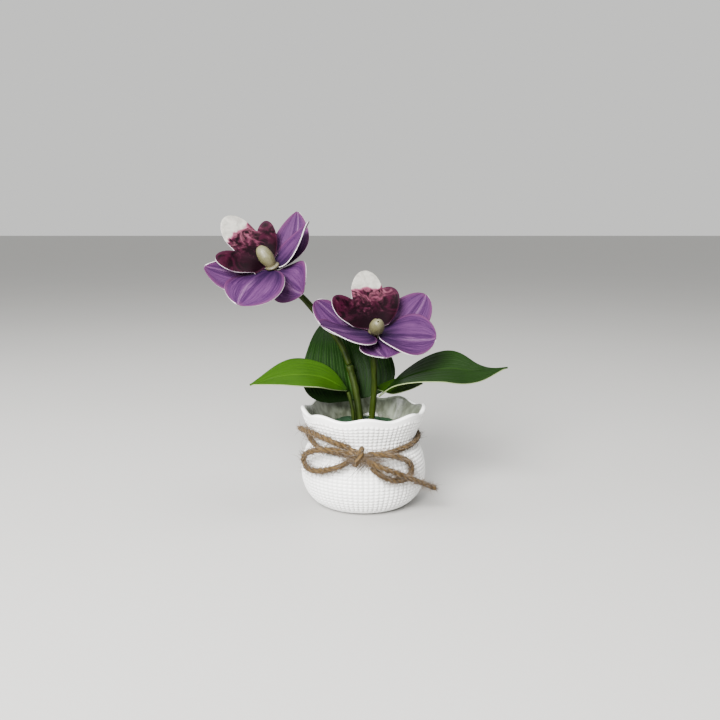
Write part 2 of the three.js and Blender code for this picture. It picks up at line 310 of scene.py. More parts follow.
@dataclass(frozen=True)
class CellFoam:
    """Dark green open-cell foam, with painted shade in its cells."""

    name: str = "foam"
    # Painted shade for the inside of each cell.
    cell: Colour = (0.003, 0.014, 0.005)
    wall: Colour = (0.008, 0.040, 0.012)

    def material(self) -> bpy.types.Material:
        """The finished material."""
        g = Graph(self.name)
        at = g.place()
        cells = g.wire("ShaderNodeTexVoronoi", "Distance", None, {"Vector": at, "Scale": 900.0})
        cloud = g.grain(at, 160.0, 4.0)
        # Painted shade: darker deep in each cell than on the cell walls.
        base = g.blend(g.clamped(cells, 0.15, 0.7), self.cell, self.wall)
        base = g.blend(cloud * 0.5, base, (0.005, 0.024, 0.008))
        return g.finish(
            Base_Color=base,
            Roughness=0.95,
            Specular_IOR_Level=0.2,
            Normal=g.bump(cells + cloud, 0.0006, 0.9),
        )


@dataclass(frozen=True)
class StemPlastic:
    """Moulded olive plastic with a painted, slightly streaked skin."""

    name: str = "stem_plastic"
    body: Colour = (0.009, 0.017, 0.0010)
    shade: Colour = (0.003, 0.007, 0.0006)
    light: Colour = (0.020, 0.032, 0.0025)

    def material(self) -> bpy.types.Material:
        """The finished material."""
        g = Graph(self.name)
        at = g.place()
        streak = g.grain(g.stretched(at, (900.0, 900.0, 60.0)), 1.0, 4.0, 0.6)
        cloud = g.grain(at, 110.0, 3.0)
        base = g.blend(g.clamped(streak, 0.35, 0.75), self.body, self.light)
        base = g.blend(g.clamped(cloud, 0.35, 0.7) * 0.75, base, self.shade)
        base = g.blend(g.attribute("seam") * 0.6, base, self.light)
        pits = g.grain(at, 1500.0, 2.0)
        under = g.bump(streak, 0.0002, 0.5)
        return g.finish(
            Base_Color=base,
            Roughness=0.42 + cloud * 0.2,
            Specular_IOR_Level=0.09,
            Normal=g.bump(pits, 0.00006, 0.4, under),
        )


@dataclass(frozen=True)
class LeafPrint:
    """Coated cloth leaf, printed with lengthwise veins and a paler midrib."""

    name: str
    body: Colour
    shade: Colour
    vein: Colour
    veins: float = 11.0
    gloss: float = 0.4
    root: Colour = (0.004, 0.014, 0.002)

    def material(self) -> bpy.types.Material:
        """The finished material."""
        g = Graph(self.name)
        across = g.attribute("across")
        along = g.attribute("along")
        at = g.place()
        cloud = g.grain(at, 55.0, 4.0)
        drift = g.grain(g.vector(across * 2.0, along * 3.0), 1.4, 2.0)
        lines = g.maths("SINE", (across + drift * 0.05) * (self.veins * math.pi))
        ridge = g.clamped(abs(lines), 0.35, 0.0)
        streak = g.grain(g.vector(across * 30.0, along * 1.6), 1.0, 4.0, 0.62)
        base = g.blend(g.clamped(streak, 0.3, 0.72), self.shade, self.body)
        base = g.blend(ridge * 0.42, base, self.vein)
        base = g.blend(g.clamped(cloud, 0.45, 0.75) * 0.5, base, self.shade)
        base = g.blend(g.clamped(abs(across), 0.05, 0.0) * 0.55, base, self.vein)
        base = g.blend(g.clamped(along, 0.16, 0.0) * 0.6, base, self.root)
        fibre = g.grain(g.vector(across * 160.0, along * 9.0), 1.0, 3.0)
        under = g.bump(ridge + streak * 0.4, 0.00022, 0.7)
        return g.finish(
            Base_Color=base,
            Roughness=self.gloss + streak * 0.18,
            Specular_IOR_Level=0.05,
            Normal=g.bump(fibre, 0.00008, 0.5, under),
        )


@dataclass(frozen=True)
class PetalPrint:
    """Printed petal cloth: streaked violet, mauve towards its edge, and indigo towards the root, partly from
    its print and partly from painted shade deep in the bloom.
    """

    name: str = "petal_print"
    root: Colour = (0.005, 0.0012, 0.012)
    body: Colour = (0.018, 0.0035, 0.027)
    streak: Colour = (0.098, 0.036, 0.104)
    rim: Colour = (0.082, 0.022, 0.062)

    def material(self) -> bpy.types.Material:
        """The finished material."""
        g = Graph(self.name)
        across = g.attribute("across")
        along = g.attribute("along")
        edge = g.attribute("edge")
        at = g.place()
        fan = g.vector(across * 7.0, along * 0.9)
        broad = g.grain(fan, 0.7, 3.0, 0.55, 0.35)
        fine = g.grain(g.vector(across * 44.0, along * 3.2), 1.0, 5.0, 0.65, 0.3)
        hair = g.grain(g.vector(across * 95.0, along * 3.0), 1.0, 3.0, 0.6)
        base = g.blend(g.clamped(broad, 0.40, 0.72) * 0.55, self.body, self.streak)
        base = g.blend(g.clamped(fine, 0.40, 0.62) * 0.70, base, self.body)
        base = g.blend(g.clamped(hair, 0.46, 0.66) * 0.55, base, self.streak)
        # Darker towards the root: partly the print's dark base, partly painted shade deep in the bloom.
        depth = g.clamped(along + broad * 0.35, 0.86, 0.20)
        base = g.blend(depth * 0.88, base, self.root)
        base = g.blend(g.clamped(edge + fine * 3.0, 5.5, 1.0) * 0.5, base, self.rim)
        flank = g.clamped(abs(across - 0.22 + (broad - 0.5) * 0.3), 0.16, 0.0) * g.clamped(along, 0.25, 0.6)
        base = g.blend(flank * g.clamped(hair, 0.40, 0.62) * 0.6, base, (0.190, 0.090, 0.190))
        base = g.blend(g.clamped(abs(across), 0.035, 0.0) * 0.35, base, self.root)
        cloth = g.grain(at, 2600.0, 2.0)
        under = g.bump(fine + broad * 0.6, 0.00016, 0.6)
        return g.finish(
            Base_Color=base,
            Roughness=0.55 + fine * 0.15,
            Specular_IOR_Level=0.05,
            Normal=g.bump(cloth, 0.00005, 0.5, under),
        )


@dataclass(frozen=True)
class PaleBack:
    """The unprinted back of a petal: mauve-grey cloth, darker towards the root."""

    name: str = "petal_back"
    body: Colour = (0.150, 0.115, 0.140)
    streak: Colour = (0.240, 0.200, 0.225)

    def material(self) -> bpy.types.Material:
        """The finished material."""
        g = Graph(self.name)
        across = g.attribute("across")
        along = g.attribute("along")
        fine = g.grain(g.vector(across * 26.0, along * 2.0), 1.0, 4.0, 0.6)
        base = g.blend(g.clamped(fine, 0.32, 0.7), self.body, self.streak)
        # Darker towards the root.
        base = g.blend(g.clamped(along, 0.5, 0.05) * 0.55, base, (0.040, 0.022, 0.045))
        weave = g.grain(g.place(), 2400.0, 2.0)
        return g.finish(
            Base_Color=base,
            Roughness=0.72,
            Specular_IOR_Level=0.25,
            Normal=g.bump(weave + fine, 0.00008, 0.6),
        )


@dataclass(frozen=True)
class CutEdge:
    """The pale cut edge that a printed sheet shows all round."""

    name: str
    body: Colour = (0.44, 0.39, 0.42)
    stain: Colour = (0.16, 0.09, 0.16)

    def material(self) -> bpy.types.Material:
        """The finished material."""
        g = Graph(self.name)
        at = g.place()
        patch = g.grain(at, 260.0, 3.0)
        base = g.blend(g.clamped(patch, 0.52, 0.78), self.body, self.stain)
        return g.finish(
            Base_Color=base,
            Roughness=0.75,
            Specular_IOR_Level=0.25,
            Normal=g.bump(g.grain(at, 3000.0), 0.00006, 0.5),
        )


@dataclass(frozen=True)
class LipPrint:
    """Printed lip: near-black maroon with pink mottling and small painted highlights, fading to pale grey at
    its middle lobe.
    """

    name: str = "lip_print"
    deep: Colour = (0.0028, 0.0004, 0.0014)
    body: Colour = (0.020, 0.0017, 0.0080)
    pink: Colour = (0.095, 0.018, 0.042)
    pale: Colour = (0.30, 0.29, 0.262)

    def material(self) -> bpy.types.Material:
        """The finished material."""
        g = Graph(self.name)
        at = g.place()
        reach = g.attribute("reach")
        pale = g.attribute("pale")
        edge = g.attribute("edge")
        middle = g.attribute("middle")
        swirl = g.grain(at, 62.0, 3.0, 0.5, 2.6)
        spots = g.grain(at, 120.0, 4.0, 0.55, 2.4)
        veil = g.clamped(reach, 8.0, 30.0)
        base = g.blend(g.clamped(swirl, 0.40, 0.62) * veil, self.deep, self.body)
        mottle = g.clamped(spots, 0.52, 0.70) * g.clamped(middle, 0.10, 0.8) * veil
        base = g.blend(mottle * 0.8, base, self.pink)
        # Painted highlights: small pale pink specks on the spotted middle.
        base = g.blend(g.clamped(swirl * spots, 0.31, 0.40) * middle * veil * 0.35, base, (0.24, 0.09, 0.12))
        glow = g.clamped(reach, 18.0, 34.0) * g.clamped(middle, 0.3, 0.9)
        base = g.blend(glow * g.clamped(spots, 0.36, 0.62) * 0.6, base, (0.150, 0.045, 0.070))
        base = g.blend(g.clamped(edge, 2.6, 0.2) * 0.55, base, (0.030, 0.006, 0.018))
        fade = g.clamped(pale + (swirl - 0.5) * 0.5, 0.30, 0.62)
        base = g.blend(g.clamped(fade, 0.02, 0.55), base, (0.150, 0.036, 0.070))
        cloud = g.grain(at, 210.0, 3.0, 0.5, 0.6)
        blank = g.blend(g.clamped(cloud, 0.3, 0.75), self.pale, (0.19, 0.183, 0.168))
        base = g.blend(g.clamped(fade, 0.35, 1.0), base, blank)
        cloth = g.grain(at, 2600.0, 2.0)
        under = g.bump(swirl + spots * 0.5, 0.00018, 0.5)
        return g.finish(
            Base_Color=base,
            Roughness=0.42 + spots * 0.16,
            Specular_IOR_Level=0.03,
            Normal=g.bump(cloth, 0.00005, 0.5, under),
        )


@dataclass(frozen=True)
class ColumnPlastic:
    """Cream-green moulded plastic of the column, yellower and browner towards its foot."""

    name: str = "column_plastic"
    body: Colour = (0.068, 0.063, 0.026)
    foot: Colour = (0.036, 0.027, 0.010)

    def material(self) -> bpy.types.Material:
        """The finished material."""
        g = Graph(self.name)
        at = g.place()
        cloud = g.grain(at, 240.0, 3.0)
        freckle = g.clamped(g.grain(at, 1100.0, 2.0), 0.62, 0.72)
        base = g.blend(g.clamped(cloud, 0.35, 0.75) * 0.6, self.body, (0.088, 0.083, 0.042))
        base = g.blend(g.clamped(g.attribute("along"), 0.42, 0.0) * 0.7, base, self.foot)
        base = g.blend(freckle * 0.4, base, (0.10, 0.085, 0.035))
        return g.finish(
            Base_Color=base,
            Roughness=0.48,
            Subsurface_Weight=0.08,
            Subsurface_Radius=(0.002, 0.002, 0.001),
            Normal=g.bump(g.grain(at, 1500.0), 0.00008, 0.5),
        )


@dataclass(frozen=True)
class Jute:
    """Plied jute: tan fibres that run with the twine's strands, lighter and darker by turns, with painted
    shade in the grooves between the plies.
    """

    name: str = "jute"
    body: Colour = (0.042, 0.024, 0.0075)
    light: Colour = (0.140, 0.088, 0.035)
    dark: Colour = (0.007, 0.0035, 0.0012)

    def material(self) -> bpy.types.Material:
        """The finished material."""
        g = Graph(self.name)
        around = g.attribute("across")
        along = g.attribute("along")
        fibre = g.grain(g.vector(around * 16.0 + along * 0.9, along * 0.12), 1.0, 5.0, 0.7)
        cloud = g.grain(g.place(), 170.0, 3.0)
        ply_groove_shade = g.attribute("hollow")
        base = g.blend(g.clamped(fibre, 0.38, 0.66), self.body, self.light)
        # Painted shade: darker in the grooves between the plies.
        base = g.blend(ply_groove_shade * 0.9, base, self.dark)
        base = g.blend(g.clamped(cloud, 0.45, 0.7) * 0.45, base, self.dark)
        return g.finish(
            Base_Color=base,
            Roughness=0.9,
            Specular_IOR_Level=0.12,
            Sheen_Weight=0.05,
            Sheen_Roughness=0.5,
            Normal=g.bump(fibre, 0.0003, 0.9),
        )


@dataclass(frozen=True)
class LooseFibre:
    """Single loose jute hairs, each lighter or darker than its neighbours, with fine painted glints."""

    name: str = "loose_fibre"
    light: Colour = (0.120, 0.076, 0.032)
    dark: Colour = (0.014, 0.007, 0.003)

    def material(self) -> bpy.types.Material:
        """The finished material."""
        g = Graph(self.name)
        base = g.blend(g.attribute("along"), self.light, self.dark)
        # Painted highlights: fine glints along the hairs.
        painted_glint = g.grain(g.place(), 1500.0, 2.0)
        base = g.blend(painted_glint * 0.4, base, (0.11, 0.065, 0.032))
        return g.finish(Base_Color=base, Roughness=0.8, Specular_IOR_Level=0.25, Sheen_Weight=0.2)


# ---------------------------------------------------------------- meshes


def unit(vectors: Array) -> Array:
    """Vectors scaled to a length of one."""
    return vectors / np.maximum(np.linalg.norm(vectors, axis=-1, keepdims=True), 1e-12)


def eased(value: Array, low: float, high: float) -> Array:
    """Smooth step of a value from low to high."""
    share = np.clip((value - low) / (high - low), 0.0, 1.0)
    return share * share * (3.0 - 2.0 * share)


def quads(rows: int, columns: int, start: int = 0, closed: bool = False) -> Array:
    """Faces of a grid of vertices.

    Args:
        rows: vertices down the grid.
        columns: vertices across it.
        start: number of its first vertex.
        closed: whether the last column joins the first.

    Returns:
        One row of four vertex numbers per face.
    """
    across = columns if closed else columns - 1
    row, column = np.meshgrid(np.arange(rows - 1), np.arange(across), indexing="ij")
    after = (column + 1) % columns
    near, far = row * columns, (row + 1) * columns
    return start + np.stack([near + column, near + after, far + after, far + column], -1).reshape(-1, 4)


@dataclass
class Piece:
    """A mesh in the making: vertices in millimetres, faces, their slots and named vertex values."""

    name: str
    points: Array
    faces: list[Sequence[int]]
    slots: Array | None = None
    values: dict[str, Array] = field(default_factory=dict)
    flat_slot: int = -1

    def build(self, materials: Sequence[bpy.types.Material], slot: Slot, *nodes: str) -> bpy.types.Object:
        """Makes the object, dresses it and sets it on the frame.

        Args:
            materials: one per slot number.
            slot: the record's material slot; not used.
            nodes: the frame's nodes that it stands for.

        Returns:
            The new object.
        """
        mesh = bpy.data.meshes.new(self.name)
        mesh.from_pydata((self.points * MM).tolist(), [], [list(map(int, f)) for f in self.faces])
        for material in materials:
            mesh.materials.append(material)
        smooth = np.ones(len(mesh.polygons), bool)
        if self.slots is not None:
            mesh.polygons.foreach_set("material_index", self.slots.astype(np.int32))
            smooth = self.slots != self.flat_slot
        mesh.polygons.foreach_set("use_smooth", smooth)
        for name, value in self.values.items():
            layer = mesh.attributes.new(name, "FLOAT", "POINT")
            layer.data.foreach_set("value", value.astype(np.float32).ravel())
        mesh.update()
        made = bpy.data.objects.new(self.name, mesh)
        bpy.context.scene.collection.objects.link(made)
        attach(made, "root")
        if nodes:
            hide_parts(*nodes)
        LOG.info("%s: %d faces", self.name, len(mesh.polygons))
        return made


def joined(name: str, pieces: Sequence[Piece]) -> Piece:
    """Several pieces as one mesh, with the values that the first one has.

    Args:
        name: the new piece's name.
        pieces: the pieces, all with slots or all without.

    Returns:
        The one piece.
    """
    faces: list[Sequence[int]] = []
    start = 0
    for part in pieces:
        faces.extend([[v + start for v in f] for f in part.faces])
        start += len(part.points)
    values = {key: np.concatenate([p.values[key].ravel() for p in pieces]) for key in pieces[0].values}
    slots = None if pieces[0].slots is None else np.concatenate([p.slots for p in pieces])
    return Piece(name, np.vstack([p.points for p in pieces]), faces, slots, values, pieces[0].flat_slot)


class Route:
    """A smooth curve through points, with its knots spread by the root of their spacing."""

    def __init__(self, points: Sequence[Sequence[float]]) -> None:
        """Keeps the points, with one more beyond each end.

        Args:
            points: where the curve passes, in millimetres.
        """
        through = np.array(points, float)
        self.count = len(through) - 1
        self.points = np.vstack([2 * through[0] - through[1], through, 2 * through[-1] - through[-2]])

    def at(self, shares: Array) -> Array:
        """Points on the curve.

        Args:
            shares: shares of its parameter, from 0 to 1.

        Returns:
            One point for each share.
        """
        place = np.clip(shares, 0.0, 1.0) * self.count
        first = np.minimum(place.astype(int), self.count - 1)
        t = (place - first)[:, None]
        p0, p1, p2, p3 = (self.points[first + i] for i in range(4))
        gaps = (p1 - p0, p2 - p1, p3 - p2)
        d0, d1, d2 = (np.sqrt(np.linalg.norm(gap, axis=1, keepdims=True)) for gap in gaps)
        m1 = ((p1 - p0) / d0 - (p2 - p0) / (d0 + d1) + (p2 - p1) / d1) * d1
        m2 = ((p2 - p1) / d1 - (p3 - p1) / (d1 + d2) + (p3 - p2) / d2) * d1
        rise = -3 * p1 + 3 * p2 - 2 * m1 - m2
        curl = 2 * p1 - 2 * p2 + m1 + m2
        return p1 + m1 * t + rise * t**2 + curl * t**3

    def spaced(self, count: int) -> Array:
        """Points at equal steps along the curve's length.

        Args:
            count: how many points.

        Returns:
            The points, with both ends of the curve.
        """
        fine = self.at(np.linspace(0, 1, 60 * self.count + 1))
        length = np.concatenate([[0], np.cumsum(np.linalg.norm(np.diff(fine, axis=0), axis=1))])
        steps = np.linspace(0, length[-1], count)
        return np.stack([np.interp(steps, length, fine[:, axis]) for axis in range(3)], 1)

    def length(self) -> float:
        """The curve's length."""
        fine = self.at(np.linspace(0, 1, 60 * self.count + 1))
        return float(np.linalg.norm(np.diff(fine, axis=0), axis=1).sum())


def carried_frames(path: Array) -> tuple[Array, Array]:
    """Two directions square to a path that turn with it and don't spin.

    Args:
        path: the path's points.

    Returns:
        The two directions at each point.
    """
    tangents = unit(np.gradient(path, axis=0))
    normal = np.cross(tangents[0], (0.0, 0.0, 1.0))
    if np.linalg.norm(normal) < 0.1:
        normal = np.cross(tangents[0], (1.0, 0.0, 0.0))
    normals = np.empty_like(path)
    for i, tangent in enumerate(tangents):
        normal = normal - tangent * normal.dot(tangent)
        normal = normal / np.linalg.norm(normal)
        normals[i] = normal
    return normals, np.cross(tangents, normals)


def swept(name: str, path: Array, radius: Array, values: dict[str, Array]) -> Piece:
    """A closed tube round a path.

    Args:
        name: the piece's name.
        path: the path's points.
        radius: radius at each point and side, rows by sides.
        values: named values of the same shape as radius.

    Returns:
        The tube with both ends capped.
    """
    rows, sides = radius.shape
    first, second = carried_frames(path)
    turn = np.linspace(0, 2 * math.pi, sides, endpoint=False)
    out = first[:, None] * np.cos(turn)[None, :, None] + second[:, None] * np.sin(turn)[None, :, None]
    points = (path[:, None] + out * radius[:, :, None]).reshape(-1, 3)
    faces = quads(rows, sides, 0, True).tolist()
    faces.append(list(range(sides))[::-1])
    faces.append([(rows - 1) * sides + i for i in range(sides)])
    return Piece(name, points, faces, None, {key: value.ravel() for key, value in values.items()})


def sheet(name: str, middle: Array, facing: Array, thickness: float, values: dict[str, Array]) -> Piece:
    """A thin cut sheet with a front, a back and a rim.

    Args:
        name: the piece's name.
        middle: its middle surface, rows by columns by 3.
        facing: the direction that its front looks in, roughly.
        thickness: how thick it is.
        values: named values, rows by columns.

    Returns:
        The closed sheet.
    """
    rows, columns = middle.shape[:2]
    normal = unit(np.cross(np.gradient(middle, axis=0), np.gradient(middle, axis=1)))
    flip = np.sign((normal * facing).sum(-1, keepdims=True).mean()) or 1.0
    normal = normal * flip
    front = (middle + normal * thickness / 2).reshape(-1, 3)
    back = (middle - normal * thickness / 2).reshape(-1, 3)
    size = rows * columns
    grid = quads(rows, columns)
    if flip < 0:
        grid = grid[:, ::-1]
    face_front, face_back = grid, (grid + size)[:, ::-1]
    top, bottom = np.arange(columns), (rows - 1) * columns + np.arange(columns)
    left, right = np.arange(rows) * columns, np.arange(rows) * columns + columns - 1
    ring = np.concatenate([top, right[1:], bottom[::-1][1:], left[::-1][1:-1]])
    after = np.roll(ring, -1)
    rim = np.stack([ring, after, after + size, ring + size], 1)
    if flip > 0:
        rim = rim[:, ::-1]
    faces = np.vstack([face_front, face_back, rim])
    slots = np.repeat([Side.FRONT.value, Side.BACK.value, Side.EDGE.value], [len(grid), len(grid), len(rim)])
    doubled = {key: np.tile(value.ravel(), 2) for key, value in values.items()}
    return Piece(name, np.vstack([front, back]), faces.tolist(), slots, doubled, Side.EDGE.value)


@dataclass(frozen=True)
class Outline:
    """Half width along a leaf or petal: widest at a share of its length, full or pointed at its end."""

    half: float
    root: float
    tip: float
    widest: float
    fullness: float

    def at(self, along: Array) -> Array:
        """Half widths along the blade.

        Args:
            along: shares of the length.

        Returns:
            The half width at each share.
        """
        power = math.log(0.5) / math.log(self.widest)
        swell = np.clip(np.sin(math.pi * np.minimum(along, 1.0) ** power), 0.0, None)
        return self.root + (self.tip - self.root) * along + self.half * swell**self.fullness


def edge_distance(middle: Array) -> Array:
    """How far each point of a grid lies from the grid's long sides and far end, in its own units.

    Args:
        middle: the grid's points, rows by columns by 3.

    Returns:
        The distance to the nearest of the three, rows by columns.
    """
    steps = np.linalg.norm(np.diff(middle, axis=1), axis=2)
    run = np.concatenate([np.zeros((len(middle), 1)), np.cumsum(steps, 1)], 1)
    sides = np.minimum(run, run[:, -1:] - run)
    ends = np.linalg.norm(np.diff(middle, axis=0), axis=2)
    climb = np.concatenate([np.cumsum(ends[::-1], 0)[::-1], np.zeros((1, middle.shape[1]))], 0)
    return np.minimum(sides, climb)


def roughness(points: Array, size: float, seed: float = 0.0) -> Array:
    """Smooth noise from -1 to 1.

    Args:
        points: where to read it, in millimetres.
        size: about how wide its bumps are, in millimetres.
        seed: shifts it from other noise of the same size.

    Returns:
        The noise at each point.
    """
    flat = points.reshape(-1, 3) / size + seed
    found = np.array([noise.noise(Vector(p)) for p in flat])
    return found.reshape(points.shape[:-1])


def turned_between(start: Array, end: Array, along: Array) -> Array:
    """Directions that pass evenly from one to another."""
    return unit(start + (end - start) * along[:, None])


def blade(
    spine: Callable[[Array], Array],
    facing: Callable[[Array], Array],
    outline: Outline,
    lift: Callable[[Array], Array],
    relief: Callable[[Array, Array], Array],
    size: tuple[int, int],
    skew: float = 0.0,
    far: Outline | None = None,
) -> tuple[Array, Array, dict[str, Array]]:
    """The middle surface of a leaf or a petal.

    Args:
        spine: points at shares of the length.
        facing: directions that its front looks in, at the same shares.
        outline: half widths.
        lift: how far the blade rises at shares across, from -1 to 1, per half width.
        relief: height of veins and ruffles in millimetres at shares across and along.
        size: rows and columns of vertices.
        skew: how much wider the side at +1 is.
        far: half widths of the side at -1, where they differ.

    Returns:
        The surface, the directions it faces, and its named values.
    """
    rows, columns = size
    along = np.sin(np.linspace(0, 1, rows) * math.pi / 2)
    across = np.linspace(-1, 1, columns)
    middle = spine(along)
    tangent = unit(spine(np.minimum(along + 1e-3, 1.0)) - spine(np.maximum(along - 1e-3, 0.0)))
    normal = facing(along)
    normal = unit(normal - tangent * (normal * tangent).sum(1, keepdims=True))
    side = np.cross(tangent, normal)
    x, y = np.meshgrid(across, along)
    reach = np.where(x < 0, (far or outline).at(y), outline.at(y)) * (1 + x * skew)
    height = lift(x) * reach + relief(x, y)
    points = middle[:, None] + side[:, None] * (x * reach)[..., None] + normal[:, None] * height[..., None]
    values = {"across": x, "along": y, "edge": edge_distance(points)}
    return points, np.broadcast_to(normal[:, None], points.shape), values


# ---------------------------------------------------------------- pot and filling


@dataclass
class SackPot:
    """The pot: a glazed sack with a scalloped smooth rim over rows of raised woven squares."""

    scallops: int = 8
    rise: float = 1.4
    flare: float = 0.8
    turn: float = 3.0
    relief: float = 0.8
    squares: int = 75
    rows: int = 26
    relief_top: float = 63.6
    outside: tuple[tuple[float, float], ...] = (
        (33.5, 2.2), (38.9, 8.0), (42.3, 15.5), (43.5, 24.0), (42.5, 32.0), (39.9, 40.0), (37.2, 43.8),
        (36.3, 47.0), (36.9, 50.4), (38.7, 55.0), (41.4, 61.0), (43.2, 66.8),
    )
    inside: tuple[tuple[float, float], ...] = (
        (40.2, 67.8), (39.4, 66.4), (36.4, 60.0), (33.1, 54.0), (32.5, 47.0), (35.6, 40.0), (38.7, 34.0),
        (39.7, 24.0), (35.2, 11.0), (27.0, 5.5), (10.0, 5.5),
    )
    foam_radius: float = 23.7
    foam_top: float = 56.0

    def _profile(self) -> tuple[Array, Array]:
        """The wall's section and how much relief each of its points carries.

        Returns:
            Radius and height of each point, and the phase across the rows of squares (-1 off them).
        """
        outer = Route([(r, z, 0) for r, z in self.outside]).spaced(1200)[:, :2]
        stop = int(np.searchsorted(outer[:, 1], self.relief_top))
        woven = outer[np.linspace(0, stop, self.rows * 6 + 1).astype(int)]
        phase = np.arange(self.rows * 6 + 1) % 6 / 6.0
        band = outer[np.linspace(stop, 1199, 12).astype(int)][1:]
        turn = np.linspace(0, math.pi, 9)[1:-1]
        lip = np.stack([41.7 + 1.5 * np.cos(turn), 66.9 + 1.2 * np.sin(turn)], 1)
        inner = Route([(r, z, 0) for r, z in self.inside]).spaced(44)[:, :2]
        foot = np.array([(20.0, 0.0), (26.2, 0.0), (27.4, 0.15), (30.6, 0.95), (32.4, 1.6)])
        section = np.vstack([foot, woven, band, lip, inner])
        phases = np.full(len(section), -1.0)
        phases[len(foot):len(foot) + len(woven)] = phase
        return section, phases

    def _scallop(self, radius: Array, height: Array, angle: Array) -> tuple[Array, Array]:
        """Waves the rim in and out, up and down.

        Args:
            radius: radius of each point.
            height: height of each point.
            angle: angle from the front of each point, in radians.

        Returns:
            The waved radius and height.
        """
        amount = eased(height, 54.0, 68.0) * (radius > 27)
        wave = np.cos(self.scallops * (angle - math.radians(self.turn)))
        return radius + self.flare * amount * wave, height + self.rise * amount * wave

    def build_pot(self) -> bpy.types.Object:
        """Makes the pot.

        Returns:
            The pot's object.
        """
        section, phase = self._profile()
        sides = self.squares * 6
        angle = np.arange(sides) / sides * 2 * math.pi
        tangent = unit(np.gradient(section, axis=0))
        out = np.stack([tangent[:, 1], -tangent[:, 0]], 1)
        column = np.abs(np.sin(np.arange(sides) % 6 / 6.0 * math.pi))
        row = np.abs(np.sin(phase * math.pi))
        pillow = (row[:, None] ** 0.55) * (column[None] ** 0.55)
        woven = phase[:, None] >= 0
        fade = eased(section[:, 1], 1.8, 5.0) * (1 - eased(section[:, 1], 62.6, 63.8))
        waver = np.array([[noise.noise(Vector((math.cos(a) * 9, math.sin(a) * 9, z / 5))) for a in angle]
                          for z in section[:, 1]])
        height = np.where(woven, (pillow - 0.35) * self.relief * fade[:, None], 0.0)
        height = height + waver * 0.22 * np.clip(fade + 0.15, 0, 1)[:, None]
        radius = section[:, :1] + out[:, :1] * height
        level = section[:, 1:] + out[:, 1:] * height
        radius, level = self._scallop(radius, level, angle[None])
        points = np.stack([radius * np.sin(angle), -radius * np.cos(angle), np.maximum(level, 0.0)], -1)
        faces = quads(len(section), sides, 0, True).tolist()
        faces.append(list(range(sides))[::-1])
        faces.append([(len(section) - 1) * sides + i for i in range(sides)])
        # The hollow value places the glaze's painted shade and rougher finish in the relief's hollows.
        hollow = np.where(woven, (1 - pillow) * fade[:, None], 0.0)
        # The inside value marks the inner wall, where the glaze carries painted shade.
        inside = np.arange(len(section)) > len(section) - 46
        inner = np.broadcast_to(inside[:, None].astype(float), hollow.shape)
        piece = Piece("pot_glazed", points.reshape(-1, 3), faces, None, {"hollow": hollow, "inside": inner})
        return piece.build([Glaze().material()], Slot.GLAZE, "pot")

    def build_foam(self) -> bpy.types.Object:
        """Makes the foam plug, with a torn, pitted top.

        Returns:
            The foam's object.
        """
        rows, sides = 58, 128
        share = np.linspace(0, 1, rows)
        crown = share < 0.62
        radius = np.where(crown, share / 0.62 * self.foam_radius, self.foam_radius)
        level = np.where(crown, self.foam_top + 0.9 * np.cos(share / 0.62 * math.pi / 2), 0)
        level = np.where(crown, level, self.foam_top - (share - 0.62) / 0.38 * 49.5)
        radius[~crown] -= (share[~crown] - 0.62) * 5.0
        angle = np.linspace(0, 2 * math.pi, sides, endpoint=False)
        x = radius[:, None] * np.sin(angle)
        y = -radius[:, None] * np.cos(angle)
        points = np.stack([x, y, np.broadcast_to(level[:, None], x.shape)], -1)
        pitted = roughness(points, 1.7) * 0.55 + roughness(points, 5.0, 7.0) * 0.8
        points[..., 2] += pitted * crown[:, None] * np.minimum(radius / 2, 1)[:, None]
        points[..., :2] *= (1 + pitted * 0.012 * ~crown[:, None])[..., None]
        faces = quads(rows, sides, 0, True)[:, ::-1].tolist()
        faces.append([(rows - 1) * sides + i for i in range(sides)][::-1])
        piece = Piece("foam_block", points.reshape(-1, 3), faces, None, {"hollow": pitted.ravel()})
        return piece.build([CellFoam().material()], Slot.FOAM, "foam_plug")


# ---------------------------------------------------------------- blooms


